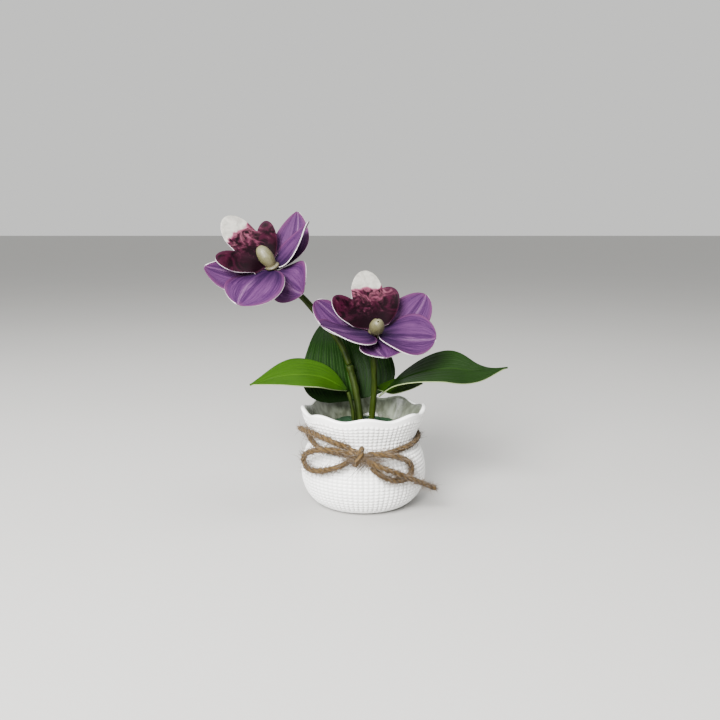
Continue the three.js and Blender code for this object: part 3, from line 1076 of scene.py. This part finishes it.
@dataclass(frozen=True)
class Tepal:
    """A petal or a sepal in its bloom's own frame, as an angle, a bent spine and an outline."""

    turn: float
    reach: float
    rise: float
    bow: float
    root: float
    half: float
    widest: float
    fullness: float
    lean: float
    cup: float

    def surface(self, seed: float) -> tuple[Array, Array, dict[str, Array]]:
        """The middle surface, with veins that fan from its root and a ruffled edge.

        Args:
            seed: shifts its noise from that of the bloom's other parts.

        Returns:
            The surface, the directions it faces, and its named values.
        """
        turn = math.radians(self.turn)
        out = np.array((math.sin(turn), math.cos(turn), 0.0))
        up = np.array((0.0, 0.0, 1.0))
        side = np.cross(out, up) * (-np.sign(turn) or 1.0)
        ends = [(2.6, self.root), (self.reach / 2, self.bow), (self.reach, self.rise)]
        a, b, c = (out * radius + up * height for radius, height in ends)

        def spine(s: Array) -> Array:
            """Points on the bent spine."""
            t = s[:, None]
            return a * (1 - t) ** 2 + b * 2 * t * (1 - t) + c * t**2

        def facing(s: Array) -> Array:
            """Directions that turn from the bloom's own by the lean."""
            angle = math.radians(self.lean) * s[:, None]
            return up * np.cos(angle) + side * np.sin(angle)

        def relief(x: Array, y: Array) -> Array:
            """Veins, a creased midrib and a slow ruffle that grows outwards.

            Args:
                x: shares across, from -1 to 1.
                y: shares along.

            Returns:
                The height in millimetres at each place.
            """
            veins = 0.10 * np.sin(x * 13.0 + 1.2 * np.sin(y * 3.0 + seed)) * eased(y, 0.05, 0.3)
            rib = -0.35 * np.exp(-((x / 0.06) ** 2)) * (1 - 0.6 * y)
            swell = np.sin(y * 6.5 + seed * 2.0 + x * 1.3) * np.abs(x) ** 2 * 0.55
            curl = np.sin(x * 5.0 + seed) * eased(y, 0.55, 1.0) * 0.35
            return veins + rib + (swell + curl) * np.sin(math.pi * np.clip(y, 0, 1)) ** 0.5

        outline = Outline(self.half, 2.4, 0.6, self.widest, self.fullness)
        return blade(spine, facing, outline, lambda x: self.cup * x * x, relief, (56, 37))


@dataclass(frozen=True)
class Lobe:
    """One lobe of a lip: the angle it points at, its reach, and how wide it is to each side."""

    at: float
    reach: float
    left: float
    right: float

    def edge(self, angle: Array) -> Array:
        """How far the lobe's edge is from the lip's root: a bell curve about its own angle."""
        width = np.where(angle < self.at, self.left, self.right)
        return self.reach * np.exp(-(((angle - self.at) / width) ** 2))


@dataclass
class Bloom:
    """A bloom: five tepals, a printed lip, an egg-shaped column and a green calyx."""

    name: str
    origin: tuple[float, float, float]
    dorsal: tuple[float, float, float]
    face: tuple[float, float, float]
    tepals: dict[str, Tepal]
    spread: tuple[float, float]
    lobes: tuple[Lobe, Lobe, Lobe]
    tilt: float
    swing: float
    lip_rise: float = 42.0
    lip_root: float = 1.2
    lip_least: float = 12.0
    lip_cup: float = 0.006
    thickness: float = 0.5
    egg_length: float = 17.0
    egg_radius: float = 5.1

    def __post_init__(self) -> None:
        """Works out the bloom's frame."""
        face = unit(np.array(self.face))
        dorsal = np.array(self.dorsal)
        dorsal = unit(dorsal - face * dorsal.dot(face))
        self.basis = np.stack([np.cross(dorsal, face), dorsal, face])

    def placed(self, points: Array) -> Array:
        """Points of the bloom's frame in the model's frame."""
        return points @ self.basis + np.array(self.origin)

    def seat(self, depth: float) -> tuple[float, float, float]:
        """The point behind the calyx where a stem ends, and points further back along its line."""
        return tuple(np.array(self.origin) - self.basis[2] * (6.8 + depth))

    def build_tepals(self, materials: Sequence[bpy.types.Material]) -> None:
        """Makes the petals and sepals.

        Args:
            materials: for the front, the back and the cut edge.
        """
        for number, (part, tepal) in enumerate(self.tepals.items()):
            points, facing, values = tepal.surface(number * 1.7 + len(self.name))
            name = f"{self.name}_{part}"
            piece = sheet(f"{name}_cloth", self.placed(points), facing @ self.basis, self.thickness, values)
            piece.build(materials, Slot.PETAL, name)

    def build_lip(self, materials: Sequence[bpy.types.Material]) -> None:
        """Makes the lip: a lobed fan that rises from below the column.

        Args:
            materials: for the front, the back and the cut edge.
        """
        rise = math.radians(self.lip_rise)
        axis = np.array((0, -math.cos(rise), math.sin(rise)))
        face = np.array((0, math.sin(rise), math.cos(rise)))
        side = np.cross(axis, face)
        turn = np.linspace(-1, 1, 89)
        along = np.linspace(0, 1, 44)
        x, y = np.meshgrid(turn, along)
        angle = np.where(x < 0, x * self.spread[0], x * self.spread[1])
        edge = np.maximum(np.maximum.reduce([lobe.edge(angle) for lobe in self.lobes]), self.lip_least)
        radius = self.lip_root + (edge - self.lip_root) * y
        bend = np.radians(angle)
        across = radius * np.sin(bend)
        folds = 0.45 * np.sin(angle * 0.16 + radius * 0.05) * y**2
        waves = 0.5 * np.sin(radius * 0.32 + x * 4.0) * y
        height = self.lip_cup * across**2 + (folds + waves)
        points = np.array((0, -4.8, 2.1)) + side * across[..., None]
        points = points + axis * (radius * np.cos(bend))[..., None] + face * height[..., None]
        pale = eased(radius, 24.0, 44.0) * eased(angle, -44.0, -30.0) * (1 - eased(angle, 12.0, 24.0))
        middle = np.exp(-((angle + 2.0) / 34.0) ** 2)
        values = {"reach": radius, "pale": pale, "edge": edge_distance(points), "middle": middle}
        facing = np.broadcast_to(face @ self.basis, points.shape)
        piece = sheet(f"{self.name}_lip_cloth", self.placed(points), facing, self.thickness, values)
        piece.build(materials, Slot.LIP, f"{self.name}_lip")

    def build_column(self, material: bpy.types.Material) -> None:
        """Makes the column: a moulded egg with a seam and a mouth, on its flange.

        Args:
            material: the plastic's material.
        """
        length, radius = self.egg_length, self.egg_radius
        profile = [(0, 0), (radius * 0.5, 0.4), (radius * 0.9, length * 0.3), (radius, length * 0.52),
                   (radius * 0.82, length * 0.8), (radius * 0.42, length * 0.96), (0, length)]
        section = Route([(r, z, 0) for r, z in profile]).spaced(44)[:, :2]
        egg = self._lathe(section, 48, length)
        turn = np.arctan2(egg.points[:, 0], egg.points[:, 1])
        share = egg.points[:, 2] / length
        seam = 0.22 * np.exp(-((np.sin(turn) / 0.07) ** 2)) * np.sin(math.pi * share) ** 0.5
        from_front = (turn + math.pi) % (2 * math.pi)
        dent = -1.1 * np.exp(-((from_front / 0.5) ** 2)) * np.exp(-(((share - 0.8) / 0.1) ** 2))
        out = unit(egg.points * np.array((1.0, 1.0, 0.0)))
        lumps = roughness(egg.points, 3.2, 4.0) * 0.16
        egg.points = egg.points + out * (seam + dent + lumps)[:, None]
        sine, cosine = math.sin(math.radians(self.tilt)), math.cos(math.radians(self.tilt))
        about_x = np.array([(1, 0, 0), (0, cosine, -sine), (0, sine, cosine)])
        sine, cosine = math.sin(math.radians(self.swing)), math.cos(math.radians(self.swing))
        about_y = np.array([(cosine, 0, sine), (0, 1, 0), (-sine, 0, cosine)])
        egg.points = egg.points @ (about_y @ about_x).T + np.array((0, 0.6, 2.4))
        rim = [(0, -2.1), (2.2, -2.1), (2.2, 2.3), (4.6, 2.4), (4.95, 2.6), (4.9, 3.2), (4.3, 3.8),
               (2.4, 4.3), (0, 4.4)]
        post = self._lathe(np.array(rim), 40, 40.0)
        both = joined(f"{self.name}_column_moulding", [egg, post])
        both.points = self.placed(both.points)
        both.build([material], Slot.COLUMN, f"{self.name}_column")

    def _lathe(self, section: Array, sides: int, length: float) -> Piece:
        """A closed solid of revolution about the bloom's own +Z.

        Args:
            section: radius and height of each point, from the axis back to the axis.
            sides: vertices round each ring.
            length: height that counts as 1 along the piece.

        Returns:
            The solid, in the bloom's frame.
        """
        angle = np.linspace(0, 2 * math.pi, sides, endpoint=False)
        ring = section[1:-1]
        points = np.stack([ring[:, :1] * np.sin(angle), -ring[:, :1] * np.cos(angle),
                           np.broadcast_to(ring[:, 1:], (len(ring), sides))], -1).reshape(-1, 3)
        points = np.vstack([points, [(0, 0, section[0, 1]), (0, 0, section[-1, 1])]])
        faces = quads(len(ring), sides, 0, True).tolist()
        low, high, last = len(points) - 2, len(points) - 1, (len(ring) - 1) * sides
        faces += [[low, (i + 1) % sides, i] for i in range(sides)]
        faces += [[high, last + i, last + (i + 1) % sides] for i in range(sides)]
        values = {"along": points[:, 2] / length, "seam": np.zeros(len(points))}
        return Piece("turned", points, faces, None, values)

    def build_calyx(self, material: bpy.types.Material) -> None:
        """Makes the green cup that joins the bloom to its stem.

        Args:
            material: the plastic's material.
        """
        section = [(0, -6.8), (2.1, -6.8), (2.5, -6.2), (3.1, -5.0), (3.55, -4.0), (3.6, -2.6),
                   (3.3, -2.4), (0, -2.4)]
        fine = np.vstack([np.linspace(a, b, 4)[:-1] for a, b in zip(section, section[1:])] + [[section[-1]]])
        cup = self._lathe(fine, 40, 40.0)
        turn = np.arctan2(cup.points[:, 0], cup.points[:, 1])
        cup.points[:, :2] *= (1 - 0.05 * np.abs(np.sin(turn * 2.5)))[:, None]
        cup.points = self.placed(cup.points)
        cup.name = f"{self.name}_calyx_cup"
        cup.build([material], Slot.STEM, f"{self.name}_calyx")


# ---------------------------------------------------------------- stems and leaves


@dataclass
class Stems:
    """Plastic stems pushed into the foam: two flower stems and two thin leaf stems."""

    blooms: dict[str, Bloom]
    lower_radius: float = 2.6
    upper_radius: float = 2.2
    leaf_radius: float = 1.3

    def _tube(
        self, name: str, points: Sequence[Sequence[float]], radius: float, sleeve: float = 0.0
    ) -> None:
        """Makes one stem.

        Args:
            name: the node that it stands for.
            points: where it passes.
            radius: its radius.
            sleeve: how far a collar at its top stands proud.
        """
        route = Route(points)
        rows = max(24, int(route.length() / 0.9))
        path = route.spaced(rows)
        share = np.linspace(0, 1, rows)
        turn = np.linspace(0, 2 * math.pi, 28, endpoint=False)
        drift = roughness(path, 9.0, radius) * 0.10 + roughness(path, 3.0, 5.0) * 0.05
        seam = np.exp(-((np.sin(turn) / 0.16) ** 2))
        ribs = 0.05 * np.cos(turn * 5.0)
        collar = sleeve * eased(share, 0.93, 0.945) * (1 - 0.7 * eased(share, 0.985, 1.0))
        size = radius * (1.03 - 0.06 * share + drift * 0.6 + collar / radius)
        rings = size[:, None] + 0.06 * seam[None] + ribs[None]
        rings[0] *= 0.8
        rings[-1] *= 0.9
        values = {"seam": np.broadcast_to(seam, rings.shape)}
        values["along"] = np.broadcast_to(share[:, None], rings.shape)
        piece = swept(f"{name}_tube", path, rings, values)
        piece.build([self.material], Slot.STEM, name)

    def build(self) -> None:
        """Makes all five tubes."""
        self.material = StemPlastic().material()
        upper, lower = self.blooms["upper"], self.blooms["lower"]
        self._tube("stem_upper_foot", [(-1.6, 2, 36), (-2.4, 2, 58), (-5.4, 4, 79), (-9.9, 7.6, 96)],
                   self.lower_radius, 0.35)
        self._tube("stem_upper", [(-10, 7.8, 96.4), (-16.2, 11, 111), (-30.5, 12, 129.6), (-45.3, 9, 146.5),
                                  upper.seat(5), upper.seat(0.3)], self.upper_radius)
        self._tube("stem_lower", [(4.2, -1, 36), (5.6, -2, 58.5), (7.5, -4, 81),
                                  lower.seat(7), lower.seat(0.3)], self.upper_radius)
        self._tube("leaf_stem_left", [(-6.4, -3.4, 42), (-6.9, -3.4, 58), (-8.3, -3, 70), (-10.6, -2.4, 79)],
                   self.leaf_radius)
        self._tube("leaf_stem_back", [(-3.8, 9, 42), (-4.6, 9.2, 58), (-5.9, 10.3, 65), (-7.2, 11.8, 69)],
                   self.leaf_radius)
        for bloom in self.blooms.values():
            bloom.build_calyx(self.material)


@dataclass(frozen=True)
class Leaf:
    """A pressed cloth leaf: its midrib's route, the way it faces, its outline and its fold."""

    name: str
    spine: tuple[tuple[float, float, float], ...]
    facing: tuple[tuple[float, float, float], tuple[float, float, float]]
    half: float
    widest: float
    fullness: float
    fold: float
    slot: Slot
    veins: int
    ruffle: float = 0.5
    skew: float = 0.0
    far_fullness: float = 0.0
    thickness: float = 0.6

    def build(self, materials: Sequence[bpy.types.Material]) -> None:
        """Makes the leaf with embossed veins.

        Args:
            materials: for the front, the back and the cut edge.
        """
        route = Route(self.spine)
        start, end = unit(np.array(self.facing[0], float)), unit(np.array(self.facing[1], float))
        outline = Outline(self.half, 1.2, 0.5, self.widest, self.fullness)
        far = Outline(self.half, 1.2, 0.5, self.widest, self.far_fullness or self.fullness)

        def relief(x: Array, y: Array) -> Array:
            """Embossed lengthwise veins, a sunk midrib and slow waves along both edges.

            Args:
                x: shares across, from -1 to 1.
                y: shares along.

            Returns:
                The height in millimetres at each place.
            """
            emboss = 0.16 * np.abs(np.sin(x * self.veins * math.pi / 2)) * eased(y, 0.03, 0.2)
            rib = -0.5 * np.exp(-((x / 0.045) ** 2))
            wave = self.ruffle * np.sin(y * 9.0 + x * 1.5 + self.half) * x**2
            return emboss + rib + wave * np.sin(math.pi * np.clip(y, 0, 1)) ** 0.5

        points, facing, values = blade(
            route.at, lambda s: turned_between(start, end, s), outline, lambda x: self.fold * np.abs(x),
            relief, (84, 57), self.skew, far,
        )
        piece = sheet(f"{self.name}_cloth", points, facing, self.thickness, values)
        piece.build(materials, self.slot, self.name)


@dataclass
class Foliage:
    """The four leaves: a bright one on the left, dark ones at the back and right, and a small one whose
    print is brightened as painted light.
    """

    leaves: tuple[Leaf, ...] = (
        Leaf(
            "leaf_left",
            spine=((-11.4, -2.6, 80.6), (-30, -6, 90.5), (-52, -11, 92.6), (-77.5, -14, 86.4)),
            facing=((-0.2, -0.42, 1), (-0.1, -0.3, 1)),
            half=19.5, widest=0.5, fullness=1.05, fold=0.05, slot=Slot.BRIGHT_LEAF,
            veins=11, ruffle=0.4, skew=0.08,
        ),
        Leaf(
            "leaf_right",
            spine=((10.6, -3.6, 76.2), (26, -5, 88.2), (56, -8, 96.6), (78, -10.5, 95.8), (98.3, -12, 98)),
            facing=((-0.5, 0.1, 1), (0.1, -0.75, 1)),
            half=22.5, widest=0.47, fullness=1.35, fold=0.1, slot=Slot.LEAF,
            veins=9, ruffle=0.4, skew=0.03, far_fullness=3.2,
        ),
        Leaf(
            "leaf_back",
            spine=((-7.4, 12, 69.8), (-10.6, 16, 88), (-15, 24, 108), (-22, 42, 126)),
            facing=((0, -1, 0.3), (0, -0.7, 0.9)),
            half=32.5, widest=0.33, fullness=0.55, fold=0.12, slot=Slot.LEAF, veins=11, ruffle=0.5,
        ),
        Leaf(
            "leaf_small",
            spine=((8.4, 2.2, 81), (18, 5.6, 80), (30, 5.6, 82.4), (42, 8, 83)),
            facing=((0, -0.6, 0.8), (0, -0.4, 1)),
            half=7.2, widest=0.55, fullness=1.1, fold=0.1, slot=Slot.LEAF, veins=5, ruffle=0.15,
        ),
    )

    def build(self) -> None:
        """Makes the leaves and their prints."""
        prints = {
            "leaf_left": LeafPrint(
                "leaf_bright", (0.024, 0.068, 0.0014), (0.010, 0.034, 0.0008), (0.046, 0.105, 0.005), 11.0),
            "leaf_right": LeafPrint(
                "leaf_dark", (0.005, 0.019, 0.001), (0.002, 0.009, 0.0006), (0.012, 0.034, 0.003),
                9.0, 0.34),
            "leaf_back": LeafPrint(
                "leaf_deep", (0.004, 0.019, 0.0008), (0.0012, 0.007, 0.0005), (0.030, 0.075, 0.012),
                15.0, 0.36),
            # Painted light: the small leaf's print is brightened where it lies in shade.
            "leaf_small": LeafPrint(
                "leaf_small_painted_light", (0.020, 0.060, 0.0014), (0.009, 0.030, 0.0008), (0.040, 0.095, 0.005), 7.0),
        }
        under = LeafPrint(
            "leaf_underside", (0.022, 0.042, 0.012), (0.012, 0.028, 0.008), (0.045, 0.070, 0.028), 9.0, 0.6)
        back = under.material()
        pale = CutEdge("leaf_edge", (0.16, 0.20, 0.09), (0.05, 0.08, 0.03)).material()
        for leaf in self.leaves:
            leaf.build([prints[leaf.name].material(), back, pale])


# ---------------------------------------------------------------- twine


class End(Enum):
    """What a length of twine ends in."""

    BARE = "bare"
    OBJECT = "object"


class Lay(Enum):
    """How a length of twine lies."""

    TAUT = "taut"
    LOOSE = "loose"


@dataclass(frozen=True)
class Strand:
    """One free length of twine: the node it stands for, its route, and how it lies and ends."""

    node: str
    points: tuple[tuple[float, float, float], ...]
    end: End
    lay: Lay


def neck_turn(radius: float, neck: float) -> tuple[tuple[float, float, float], ...]:
    """Points of the turn round the neck, which dips behind the knot.

    Args:
        radius: distance of the twine's middle from the axis at the neck.
        neck: height of the neck.

    Returns:
        The points, from one side of the knot round the back to the other.
    """
    heights = [(3, 44), (20, 44.6), (50, 46.2), (90, 48.2), (180, 49.6), (250, 50.8), (280, 50.4),
               (293, 47.4), (308, 45.4), (335, 44.4), (357, 44)]
    found = Route([(turn, z, 0) for turn, z in heights]).at(np.linspace(0, 1, 33))
    reach = radius + 0.06 * (found[:, 1] - neck) ** 2
    turn = np.radians(found[:, 0])
    return tuple(zip(reach * np.sin(turn), -reach * np.cos(turn), found[:, 1]))


@dataclass
class Bow:
    """The jute twine: a turn round the neck, a knot, two loops, two cut tails and the loose fibres."""

    diameter: float = 3.2
    strands: tuple[Strand, ...] = (
        Strand("twine_wrap", neck_turn(38.5, 47.0), End.OBJECT, Lay.TAUT),
        Strand("twine_loop_left", (
            (-10, -45.2, 46.4), (-15.6, -45.2, 48.6), (-24, -43.6, 49.2), (-33, -37.6, 47),
            (-39.2, -29.6, 42), (-40.6, -25.5, 37), (-38.8, -27.5, 33), (-33, -34.5, 32.4),
            (-25.5, -40.5, 34.4), (-17, -45.2, 38), (-10.4, -46.8, 41.6)), End.OBJECT, Lay.LOOSE),
        Strand("twine_loop_right", (
            (4, -46.4, 46.6), (12, -46.4, 46.6), (20.5, -44, 45), (27.6, -39.8, 41.4), (31.8, -35.4, 35.6),
            (31.2, -35.6, 30.2), (25.8, -39.8, 27.4), (18.4, -44.4, 29), (11, -47.8, 33.4),
            (5, -48.6, 38.4)),
            End.OBJECT, Lay.LOOSE),
        Strand("twine_tail_left", (
            (-8.6, -42.4, 50), (-16, -40.2, 51.8), (-25.6, -34.8, 54.4), (-34.5, -26, 56),
            (-43.6, -12, 55.6)),
            End.BARE, Lay.LOOSE),
        Strand("twine_tail_right", (
            (4.8, -50, 41.8), (12, -50.2, 39), (20, -47.8, 35.4), (28, -43, 30.6), (37, -36, 25),
            (48.2, -27, 17.8)),
            End.BARE, Lay.LOOSE),
    )
    knot_turns: tuple[tuple[tuple[float, float, float], ...], ...] = (
        ((-1.2, -42.4, 49.8), (-1.4, -46.4, 50), (-2, -49.2, 47.8), (-3.2, -50.2, 45), (-4.6, -49.4, 42.2),
         (-5.6, -46.6, 40.2), (-6.2, -42.6, 40.4)),
        ((-10.4, -44.8, 47.6), (-7, -46.8, 47.2), (-2, -48, 45.8), (2.4, -48, 43.4), (6, -47.4, 41)),
        ((-10.6, -45.6, 42.4), (-6.4, -47, 43.2), (-1, -47.4, 44.8), (3.4, -46.6, 46.4), (7, -45.4, 47)),
        ((-9.6, -43.2, 49.4), (-6, -45.2, 48.6), (-1.6, -46.6, 46.8), (2.8, -48.2, 43), (5.4, -49.2, 40.6)),
    )
    lay_length: float = 15.0

    def _plied(
        self, name: str, points: Sequence[Sequence[float]], frayed: bool = False
    ) -> tuple[Piece, Array]:
        """A three-ply tube of twine.

        Args:
            name: the piece's name.
            points: where it passes.
            frayed: whether its far end opens out.

        Returns:
            The tube and the path it follows.
        """
        route = Route(points)
        length = route.length()
        rows = int(length / 0.55)
        path = route.spaced(rows)
        along = np.linspace(0, length, rows)
        turn = np.linspace(0, 2 * math.pi, 27, endpoint=False)
        wander = 0.9 * roughness(path, 9.0, 2.0)
        phase = turn[None] - (along[:, None] * 2 * math.pi / self.lay_length + wander[:, None])
        ply = np.abs(np.cos(1.5 * phase))
        uneven = roughness(path, 4.0, 3.0)
        radius = self.diameter / 2 * (0.93 + 0.25 * ply**0.8) * (1 + 0.12 * uneven)[:, None]
        rng = np.random.default_rng(len(name) * 7 + rows)
        radius = radius + rng.normal(0, 0.05, radius.shape)
        if frayed:
            radius[-4:] *= np.array([1.04, 1.08, 1.12, 1.10])[:, None]
            radius[-2:, ::2] *= 0.84
        radius[0] *= 0.6
        share = np.broadcast_to(along[:, None], phase.shape)
        # The hollow value places the jute's painted shade in the grooves between the plies.
        values = {"across": phase * 1.5 / math.pi, "along": share, "hollow": 1 - ply**0.7}
        return swept(name, path, radius, values), path

    def build(self) -> None:
        """Makes the lengths of twine, the knot and the loose fibres."""
        jute = Jute().material()
        paths = {}
        for strand in self.strands:
            piece, path = self._plied(f"{strand.node}_plied", strand.points, strand.end is End.BARE)
            piece.build([jute], Slot.TWINE, strand.node)
            paths[strand.node] = path
        turns = [self._plied("twine_knot_turns", points)[0] for points in self.knot_turns]
        knot = joined("twine_knot_turns", turns).build([jute], Slot.TWINE, "twine_knot")
        for strand in self.strands:
            path = paths[strand.node] * MM
            with_pieces = [knot] if strand.node == "twine_wrap" else []
            [tuple(p) for p in path[::3]] + [tuple(path[-1])]
        self._build_fibres(paths)

    def _build_fibres(self, paths: dict[str, Array]) -> None:
        """Makes the hairs that stand off the twine, the whiskers at the knot and the frayed ends.

        Args:
            paths: each length's path by node.
        """
        rng = np.random.default_rng(11)
        hairs = []
        dense = {"twine_wrap": 4.0, "twine_loop_left": 8.0, "twine_loop_right": 10.0}
        for node, path in paths.items():
            tangent = unit(np.gradient(path, axis=0))
            length = np.linalg.norm(np.diff(path, axis=0), axis=1).sum()
            for i in rng.integers(1, len(path) - 1, int(length * dense.get(node, 8.0))):
                out = unit(np.cross(tangent[i], rng.normal(size=3)))
                lean = rng.uniform(0.35, 1.1)
                away = out * lean + tangent[i] * rng.choice([-1, 1]) * rng.uniform(0.5, 1.0)
                start = path[i] + out * self.diameter * 0.46
                hairs.append(self._hair(rng, start, away, rng.gamma(3.0, 0.9) + 1.2, 0.15))
            if node.startswith("twine_tail"):
                for _ in range(70):
                    start = path[-1] + rng.normal(0, 0.75, 3)
                    away = tangent[-1] + rng.normal(0, 0.28, 3)
                    hairs.append(self._hair(rng, start, away, rng.uniform(1.0, 3.8), 0.17))
        middle = np.array((-2.0, -47.5, 44.5))
        for _ in range(620):
            away = unit(rng.normal(size=3) * (1.5, 0.6, 0.7) + (0.5, -0.5, -0.1))
            start = middle + rng.normal(size=3) * (5.5, 1.0, 2.2)
            hairs.append(self._hair(rng, start, away, rng.gamma(3.0, 1.3) + 1.2, 0.16))
        whiskers = ((-2, 18, -1.15), (0, 14, -1.0), (-5, 9, -1.6), (2, 11, -1.5), (4, 8, -2.2))
        for dx, length, droop in whiskers:
            away = unit(np.array((-1.0, -0.25, droop)))
            hairs.append(self._hair(rng, np.array((dx + 1, -49.6, 41.4)), away, length, 0.24, 1.0))
        joined("twine_fibres", hairs).build([LooseFibre().material()], Slot.TWINE)

    def _hair(
        self, rng: np.random.Generator, start: Array, away: Array, length: float, thick: float,
        shade: float = -1.0,
    ) -> Piece:
        """One tapered, curling hair.

        Args:
            rng: source of its curl.
            start: where it leaves the twine.
            away: the way it sets off.
            length: its length.
            thick: its radius at the start.
            shade: 0 is light and 1 is dark; -1 picks one.

        Returns:
            The hair.
        """
        steps = np.linspace(0, 1, 5)[:, None]
        away = unit(away)
        bend = unit(rng.normal(size=3)) * rng.uniform(0.05, 0.34)
        path = start + (away * steps + bend * steps**2) * length
        path[:, 2] = np.maximum(path[:, 2], 1.0)
        radius = np.repeat(thick * (1.0 - 0.8 * steps), 3, axis=1)
        tone = rng.uniform(0, 1) ** 1.4 if shade < 0 else shade
        return swept("hair", path, radius, {"along": np.full(radius.shape, tone)})


# ---------------------------------------------------------------- studio


@dataclass
class Studio:
    """Camera, floor, sky and soft lights."""

    eye: tuple[float, float, float] = (-2.4, -530.0, 190.0)
    tilt: float = 80.5
    lens: float = 38.6

    def camera(self) -> None:
        """Sets the camera level with the blooms, looking slightly down."""
        data = bpy.data.cameras.new("camera")
        data.lens = self.lens
        data.sensor_width = 36.0
        data.clip_start = 0.01
        made = bpy.data.objects.new("camera", data)
        made.location = [v * MM for v in self.eye]
        made.rotation_euler = (math.radians(self.tilt), 0.0, 0.0)
        bpy.context.scene.collection.objects.link(made)
        bpy.context.scene.camera = made

    def light(self, name: str, place: Sequence[float], size: float, power: float, colour: Colour) -> None:
        """Adds a soft square light that looks at the pot's neck.

        Args:
            name: the light's name.
            place: where it stands, in metres.
            size: its side, in metres.
            power: watts.
            colour: its colour.
        """
        data = bpy.data.lights.new(name, "AREA")
        data.size = size
        data.energy = power
        data.color = colour
        made = bpy.data.objects.new(name, data)
        made.location = place
        aim = Vector((0.0, 0.0, 0.09)) - Vector(place)
        made.rotation_euler = aim.to_track_quat("-Z", "Y").to_euler()
        bpy.context.scene.collection.objects.link(made)

    def build(self) -> None:
        """Makes the floor, the sky and the lights."""
        g = Graph("floor")
        at = g.place()
        cloud = g.grain(at, 4.0, 3.0)
        grain = g.grain(at, 220.0, 3.0)
        base = g.blend(cloud * 0.5, (0.36, 0.355, 0.345), (0.40, 0.395, 0.385))
        matt = g.finish(Base_Color=base, Roughness=0.6, Normal=g.bump(grain, 0.0003, 0.25))
        mesh = bpy.data.meshes.new("floor")
        mesh.from_pydata([(-30, -30, 0), (30, -30, 0), (30, 30, 0), (-30, 30, 0)], [], [(0, 1, 2, 3)])
        mesh.materials.append(matt)
        floor = bpy.data.objects.new("floor", mesh)
        bpy.context.scene.collection.objects.link(floor)
        world = bpy.data.worlds.new("sky")
        world.use_nodes = True
        world.node_tree.nodes["Background"].inputs["Color"].default_value = (0.90, 0.90, 0.88, 1.0)
        world.node_tree.nodes["Background"].inputs["Strength"].default_value = 0.95
        bpy.context.scene.world = world
        self.light("front", (-0.45, -1.05, 0.80), 0.7, 100.0, (1.0, 0.99, 0.97))
        self.light("top", (0.15, 0.05, 1.3), 0.6, 13.0, (1.0, 1.0, 1.0))
        self.light("left", (-1.1, -0.1, 0.5), 0.6, 6.0, (0.97, 0.98, 1.0))


# ---------------------------------------------------------------- the whole


def flowers() -> dict[str, Bloom]:
    """The two blooms: the upper one, turned to the left, and the lower one, which faces up and forward.

    Returns:
        The blooms by name.
    """
    middle = Lobe(at=2, reach=47.5, left=37, right=30)
    upper = Bloom(
        name="upper",
        origin=(-61.2, 0.2, 163.8),
        dorsal=(0.655, -0.742, -0.139),
        face=(-0.284, -0.414, 0.865),
        tepals={
            "dorsal_sepal": Tepal(
                turn=0, reach=26, rise=-13, bow=-3, root=-1.4,
                half=15, widest=0.6, fullness=0.62, lean=56, cup=0.05,
            ),
            "lateral_sepal_left": Tepal(
                turn=126, reach=43, rise=18, bow=-5, root=-1.4,
                half=12, widest=0.55, fullness=0.7, lean=44, cup=0.12,
            ),
            "lateral_sepal_right": Tepal(
                turn=-113, reach=49, rise=17.5, bow=-5, root=-1.4,
                half=12, widest=0.55, fullness=0.7, lean=20, cup=0.12,
            ),
            "petal_left": Tepal(
                turn=74, reach=41, rise=-1, bow=2, root=0.9,
                half=20.5, widest=0.52, fullness=0.52, lean=18, cup=0.05,
            ),
            "petal_right": Tepal(
                turn=-82, reach=37, rise=18, bow=3, root=0.9,
                half=14.5, widest=0.52, fullness=0.52, lean=-26, cup=0.2,
            ),
        },
        spread=(88, 72),
        lobes=(Lobe(-48, 36.5, 33, 33), middle, Lobe(37, 34.5, 28, 28)),
        tilt=31,
        swing=0,
    )
    lower = Bloom(
        name="lower",
        origin=(7.8, -12.3, 120),
        dorsal=(0.228, -0.948, -0.222),
        face=(0.049, -0.216, 0.975),
        tepals={
            "dorsal_sepal": Tepal(
                turn=0, reach=30, rise=-4, bow=-3, root=-1.4,
                half=13.5, widest=0.6, fullness=0.62, lean=0, cup=0.05,
            ),
            "lateral_sepal_left": Tepal(
                turn=124, reach=44.5, rise=17.5, bow=-4, root=-1.4,
                half=12, widest=0.6, fullness=0.5, lean=24, cup=0.12,
            ),
            "lateral_sepal_right": Tepal(
                turn=-123, reach=51, rise=19.5, bow=-5, root=-1.4,
                half=14.5, widest=0.6, fullness=0.5, lean=24, cup=0.12,
            ),
            "petal_left": Tepal(
                turn=75, reach=40.5, rise=12, bow=1.5, root=0.9,
                half=22.5, widest=0.52, fullness=0.52, lean=0, cup=0.05,
            ),
            "petal_right": Tepal(
                turn=-72, reach=41, rise=2, bow=3, root=0.9,
                half=22.5, widest=0.52, fullness=0.52, lean=26, cup=0.05,
            ),
        },
        spread=(80, 70),
        lobes=(Lobe(-46, 35.5, 36, 36), middle, Lobe(28, 37, 38, 38)),
        tilt=-44,
        swing=9,
    )
    return {"upper": upper, "lower": lower}


def main() -> None:
    """Builds the studio, the twine, the pot, the stems, the leaves and the blooms."""
    logging.basicConfig(level=logging.INFO, format="%(message)s")
    studio = Studio()
    studio.camera()
    Bow().build()
    pot = SackPot()
    pot.build_pot()
    pot.build_foam()
    blooms = flowers()
    Stems(blooms).build()
    Foliage().build()
    edge = CutEdge("petal_edge").material()
    back = PaleBack().material()
    petals = [PetalPrint().material(), back, edge]
    lips = [LipPrint().material(), back, edge]
    plastic = ColumnPlastic().material()
    for bloom in blooms.values():
        bloom.build_tepals(petals)
        bloom.build_lip(lips)
        bloom.build_column(plastic)
    studio.build()


if __name__ == "__main__":
    main()
